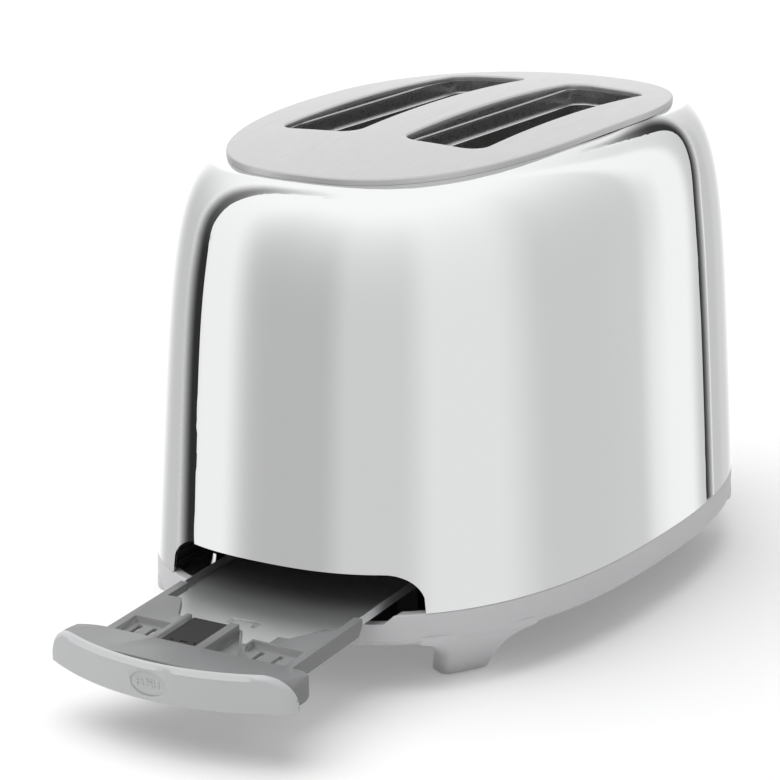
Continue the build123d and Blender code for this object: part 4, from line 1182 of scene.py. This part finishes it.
@dataclass
class PushLabel:
    """The raised word in the sunk oval of the tray's front."""

    word: str = "PUSH"
    size: float = 4.3
    narrow: float = 0.92
    relief: float = 0.25
    rail_height: float = 35.0
    droop: float = 3.78
    face: float = -82.4
    middle: float = -1.2

    def build(self) -> bpy.types.Object:
        """Builds the word as a mesh and lays it on the oval's floor.

        The letters run towards -Y and stand up along Z, then the tray's droop turns them about Y.

        Returns:
            The new piece.
        """
        letters = bpy.data.curves.new("push_letters", "FONT")
        letters.body = self.word
        letters.size = self.size
        letters.extrude = self.relief
        letters.offset = 0.04
        letters.space_character = 1.12
        letters.align_x = "CENTER"
        letters.align_y = "CENTER"
        holder = bpy.data.objects.new("push_letters", letters)
        mesh = bpy.data.meshes.new_from_object(holder)
        bpy.data.objects.remove(holder)
        flat = np.empty(len(mesh.vertices) * 3, np.float32)
        mesh.vertices.foreach_get("co", flat)
        x, y, z = flat.reshape(-1, 3).T
        local = np.stack([self.face - z, -x * self.narrow, self.middle + y], -1)
        cos, sin = math.cos(math.radians(self.droop)), math.sin(math.radians(self.droop))
        x, y, z = local.T
        turned = np.stack([x * cos - z * sin, y, x * sin + z * cos], -1)
        placed = (turned + (SHIFT - BODY.half_length, TRAY_Y, self.rail_height)) * MM
        mesh.vertices.foreach_set("co", placed.astype(np.float32).ravel())
        mesh.update()
        return dress(bpy.data.objects.new("push_label", mesh), LIGHT_GREY, "tray")


@dataclass(frozen=True)
class Panel:
    """A soft panel on the studio's wall, in degrees.

    Attributes:
        turn: where it stands.
        half: its half width.
        soft: the width of its soft edge.
        change: what it adds to the wall's level.
    """

    turn: float
    half: float
    soft: float
    change: float


@dataclass
class Studio:
    """Camera, pale floor and soft light."""

    focal: float = 134.79
    eye: tuple[float, float, float] = (-1013.7, -570.86, 412.16)
    tilt: float = 73.94
    heading: float = -59.23
    floor_tone: float = 0.93
    floor_white: float = 0.25
    wall_level: float = 0.69
    ceiling_level: float = 1.08
    fill_level: float = 0.40
    lamp_level: float = 2.4
    lamp_width: float = 70.0
    lamp_from: tuple[float, float, float] = (-0.3, 0.5, 1.9)
    panels: tuple[Panel, ...] = (
        Panel(36, 10, 24, 0.50), Panel(82, 6, 12, -0.07), Panel(122, 8, 18, 0.30), Panel(160, 10, 20, -0.15),
        Panel(262, 14, 26, 0.17), Panel(310, 8, 16, -0.03), Panel(337, 2.5, 5, 0.32), Panel(352, 3, 6, -0.08),
    )

    def build(self) -> None:
        """Builds the studio."""
        self.camera()
        self.floor()
        self.world()
        self.lamps()
        bpy.context.scene.view_settings.view_transform = "Standard"

    def camera(self) -> None:
        """Places the camera of the photograph."""
        data = bpy.data.cameras.new("camera")
        data.lens = self.focal
        data.sensor_width = 36.0
        data.clip_end = 50
        camera = bpy.data.objects.new("camera", data)
        camera.location = ((self.eye[0] + SHIFT) * MM, self.eye[1] * MM, self.eye[2] * MM)
        camera.rotation_euler = (math.radians(self.tilt), 0, math.radians(self.heading))
        bpy.context.scene.collection.objects.link(camera)
        bpy.context.scene.camera = camera

    def floor(self) -> None:
        """Lays a wide pale floor that keeps the shadow and that metal sees the studio through."""
        mesh = bpy.data.meshes.new("floor")
        half = 6.0
        mesh.from_pydata([(-half, -half, 0), (half, -half, 0), (half, half, 0), (-half, half, 0)], [], [(0, 1, 2, 3)])
        floor = bpy.data.objects.new("floor", mesh)
        bpy.context.scene.collection.objects.link(floor)
        paint = bpy.data.materials.new("pale_floor")
        paint.use_nodes = True
        tree = paint.node_tree
        shader = tree.nodes["Principled BSDF"]
        tone = (self.floor_tone, self.floor_tone, self.floor_tone, 1.0)
        set_inputs(tree, shader, {"Base Color": tone, "Roughness": 0.9, "Specular IOR Level": 0.0})
        rays = add_node(tree, "LightPath").outputs
        white = add_node(tree, "Emission", {"Color": WHITE})
        clear = add_node(tree, "BsdfTransparent")
        share = self.arithmetic(tree, "MULTIPLY", rays["Is Camera Ray"], self.floor_white)
        pale = self.mixed(tree, share, shader.outputs[0], white.outputs[0])
        seen = self.mixed(tree, rays["Is Glossy Ray"], pale, clear.outputs[0])
        set_inputs(tree, tree.nodes["Material Output"], {"Surface": seen})
        mesh.materials.append(paint)

    @staticmethod
    def arithmetic(tree: Tree, kind: str, *values: Socket | float) -> Socket:
        """Result of a Math node of a kind over sockets and numbers."""
        return add_node(tree, "Math", dict(enumerate(values)), operation=kind).outputs[0]

    @staticmethod
    def mixed(tree: Tree, share: Socket, first: Socket, second: Socket) -> Socket:
        """Two shaders mixed by a share of the second."""
        return add_node(tree, "MixShader", dict(enumerate((share, first, second)))).outputs[0]

    @staticmethod
    def ramp(tree: Tree, value: Socket, start: tuple[float, float], end: tuple[float, float]) -> Socket:
        """A smooth passage between two points, each a value and its result."""
        inputs = {"Value": value, "From Min": start[0], "From Max": end[0], "To Min": start[1], "To Max": end[1]}
        return add_node(tree, "MapRange", inputs, interpolation_type="SMOOTHSTEP").outputs["Result"]

    def walls(self, tree: Tree) -> Socket:
        """Brightness of the studio by direction: grey walls, soft panels on them, a white ceiling.

        Args:
            tree: the world's node tree.

        Returns:
            The brightness.
        """
        place = add_node(tree, "TexCoord").outputs["Generated"]
        x, y, z = add_node(tree, "SeparateXYZ", {0: place}).outputs
        turn = self.arithmetic(tree, "DEGREES", self.arithmetic(tree, "ARCTAN2", y, x))
        rise = self.arithmetic(tree, "DEGREES", self.arithmetic(tree, "ARCSINE", z))
        level = self.arithmetic(tree, "ADD", self.wall_level, 0.0)
        for panel in self.panels:
            off = self.arithmetic(tree, "WRAP", self.arithmetic(tree, "SUBTRACT", turn, panel.turn), 180.0, -180.0)
            off = self.arithmetic(tree, "ABSOLUTE", off)
            glow = self.ramp(tree, off, (panel.half, panel.change), (panel.half + panel.soft, 0.0))
            level = self.arithmetic(tree, "ADD", level, glow)
        share = self.ramp(tree, rise, (-4.0, 0.0), (56.0, 1.0))
        gap = self.arithmetic(tree, "SUBTRACT", self.ceiling_level, level)
        level = self.arithmetic(tree, "MULTIPLY_ADD", gap, share, level)
        below = self.ramp(tree, rise, (-55.0, 0.55), (-18.0, 1.0))
        return self.arithmetic(tree, "MULTIPLY", level, below)

    def world(self) -> None:
        """White for the camera, the studio's walls for reflections, softer light for the rest."""
        world = bpy.data.worlds.new("studio")
        bpy.context.scene.world = world
        world.use_nodes = True
        tree = world.node_tree
        white = tree.nodes["Background"]
        set_inputs(tree, white, {"Color": WHITE})
        rays = add_node(tree, "LightPath").outputs
        diffuse = self.arithmetic(tree, "MULTIPLY", rays["Is Diffuse Ray"], self.fill_level - 1)
        strength = self.arithmetic(tree, "MULTIPLY", self.walls(tree), self.arithmetic(tree, "ADD", diffuse, 1.0))
        room = add_node(tree, "Background", {"Color": WHITE, "Strength": strength})
        seen = self.arithmetic(tree, "MAXIMUM", rays["Is Camera Ray"], rays["Is Transmission Ray"])
        both = self.mixed(tree, seen, room.outputs[0], white.outputs[0])
        set_inputs(tree, tree.nodes["World Output"], {"Surface": both})

    def lamps(self) -> None:
        """Adds one wide soft light from above, the same over the whole floor."""
        data = bpy.data.lights.new("soft_top", "SUN")
        data.energy = self.lamp_level
        data.angle = math.radians(self.lamp_width)
        lamp = bpy.data.objects.new("soft_top", data)
        lamp.rotation_euler = Vector(self.lamp_from).to_track_quat("Z", "Y").to_euler()
        lamp.visible_glossy = False
        bpy.context.scene.collection.objects.link(lamp)


def main() -> None:
    """Builds the toaster and its studio."""
    logging.basicConfig(level=logging.INFO, format="%(name)s %(message)s")
    Shell().build()
    TopPlate().build()
    SlotSleeves().build()
    BaseRing().build()
    PushLabel().build()
    finish_nodes()
    Studio().build()


if __name__ == "__main__":
    main()
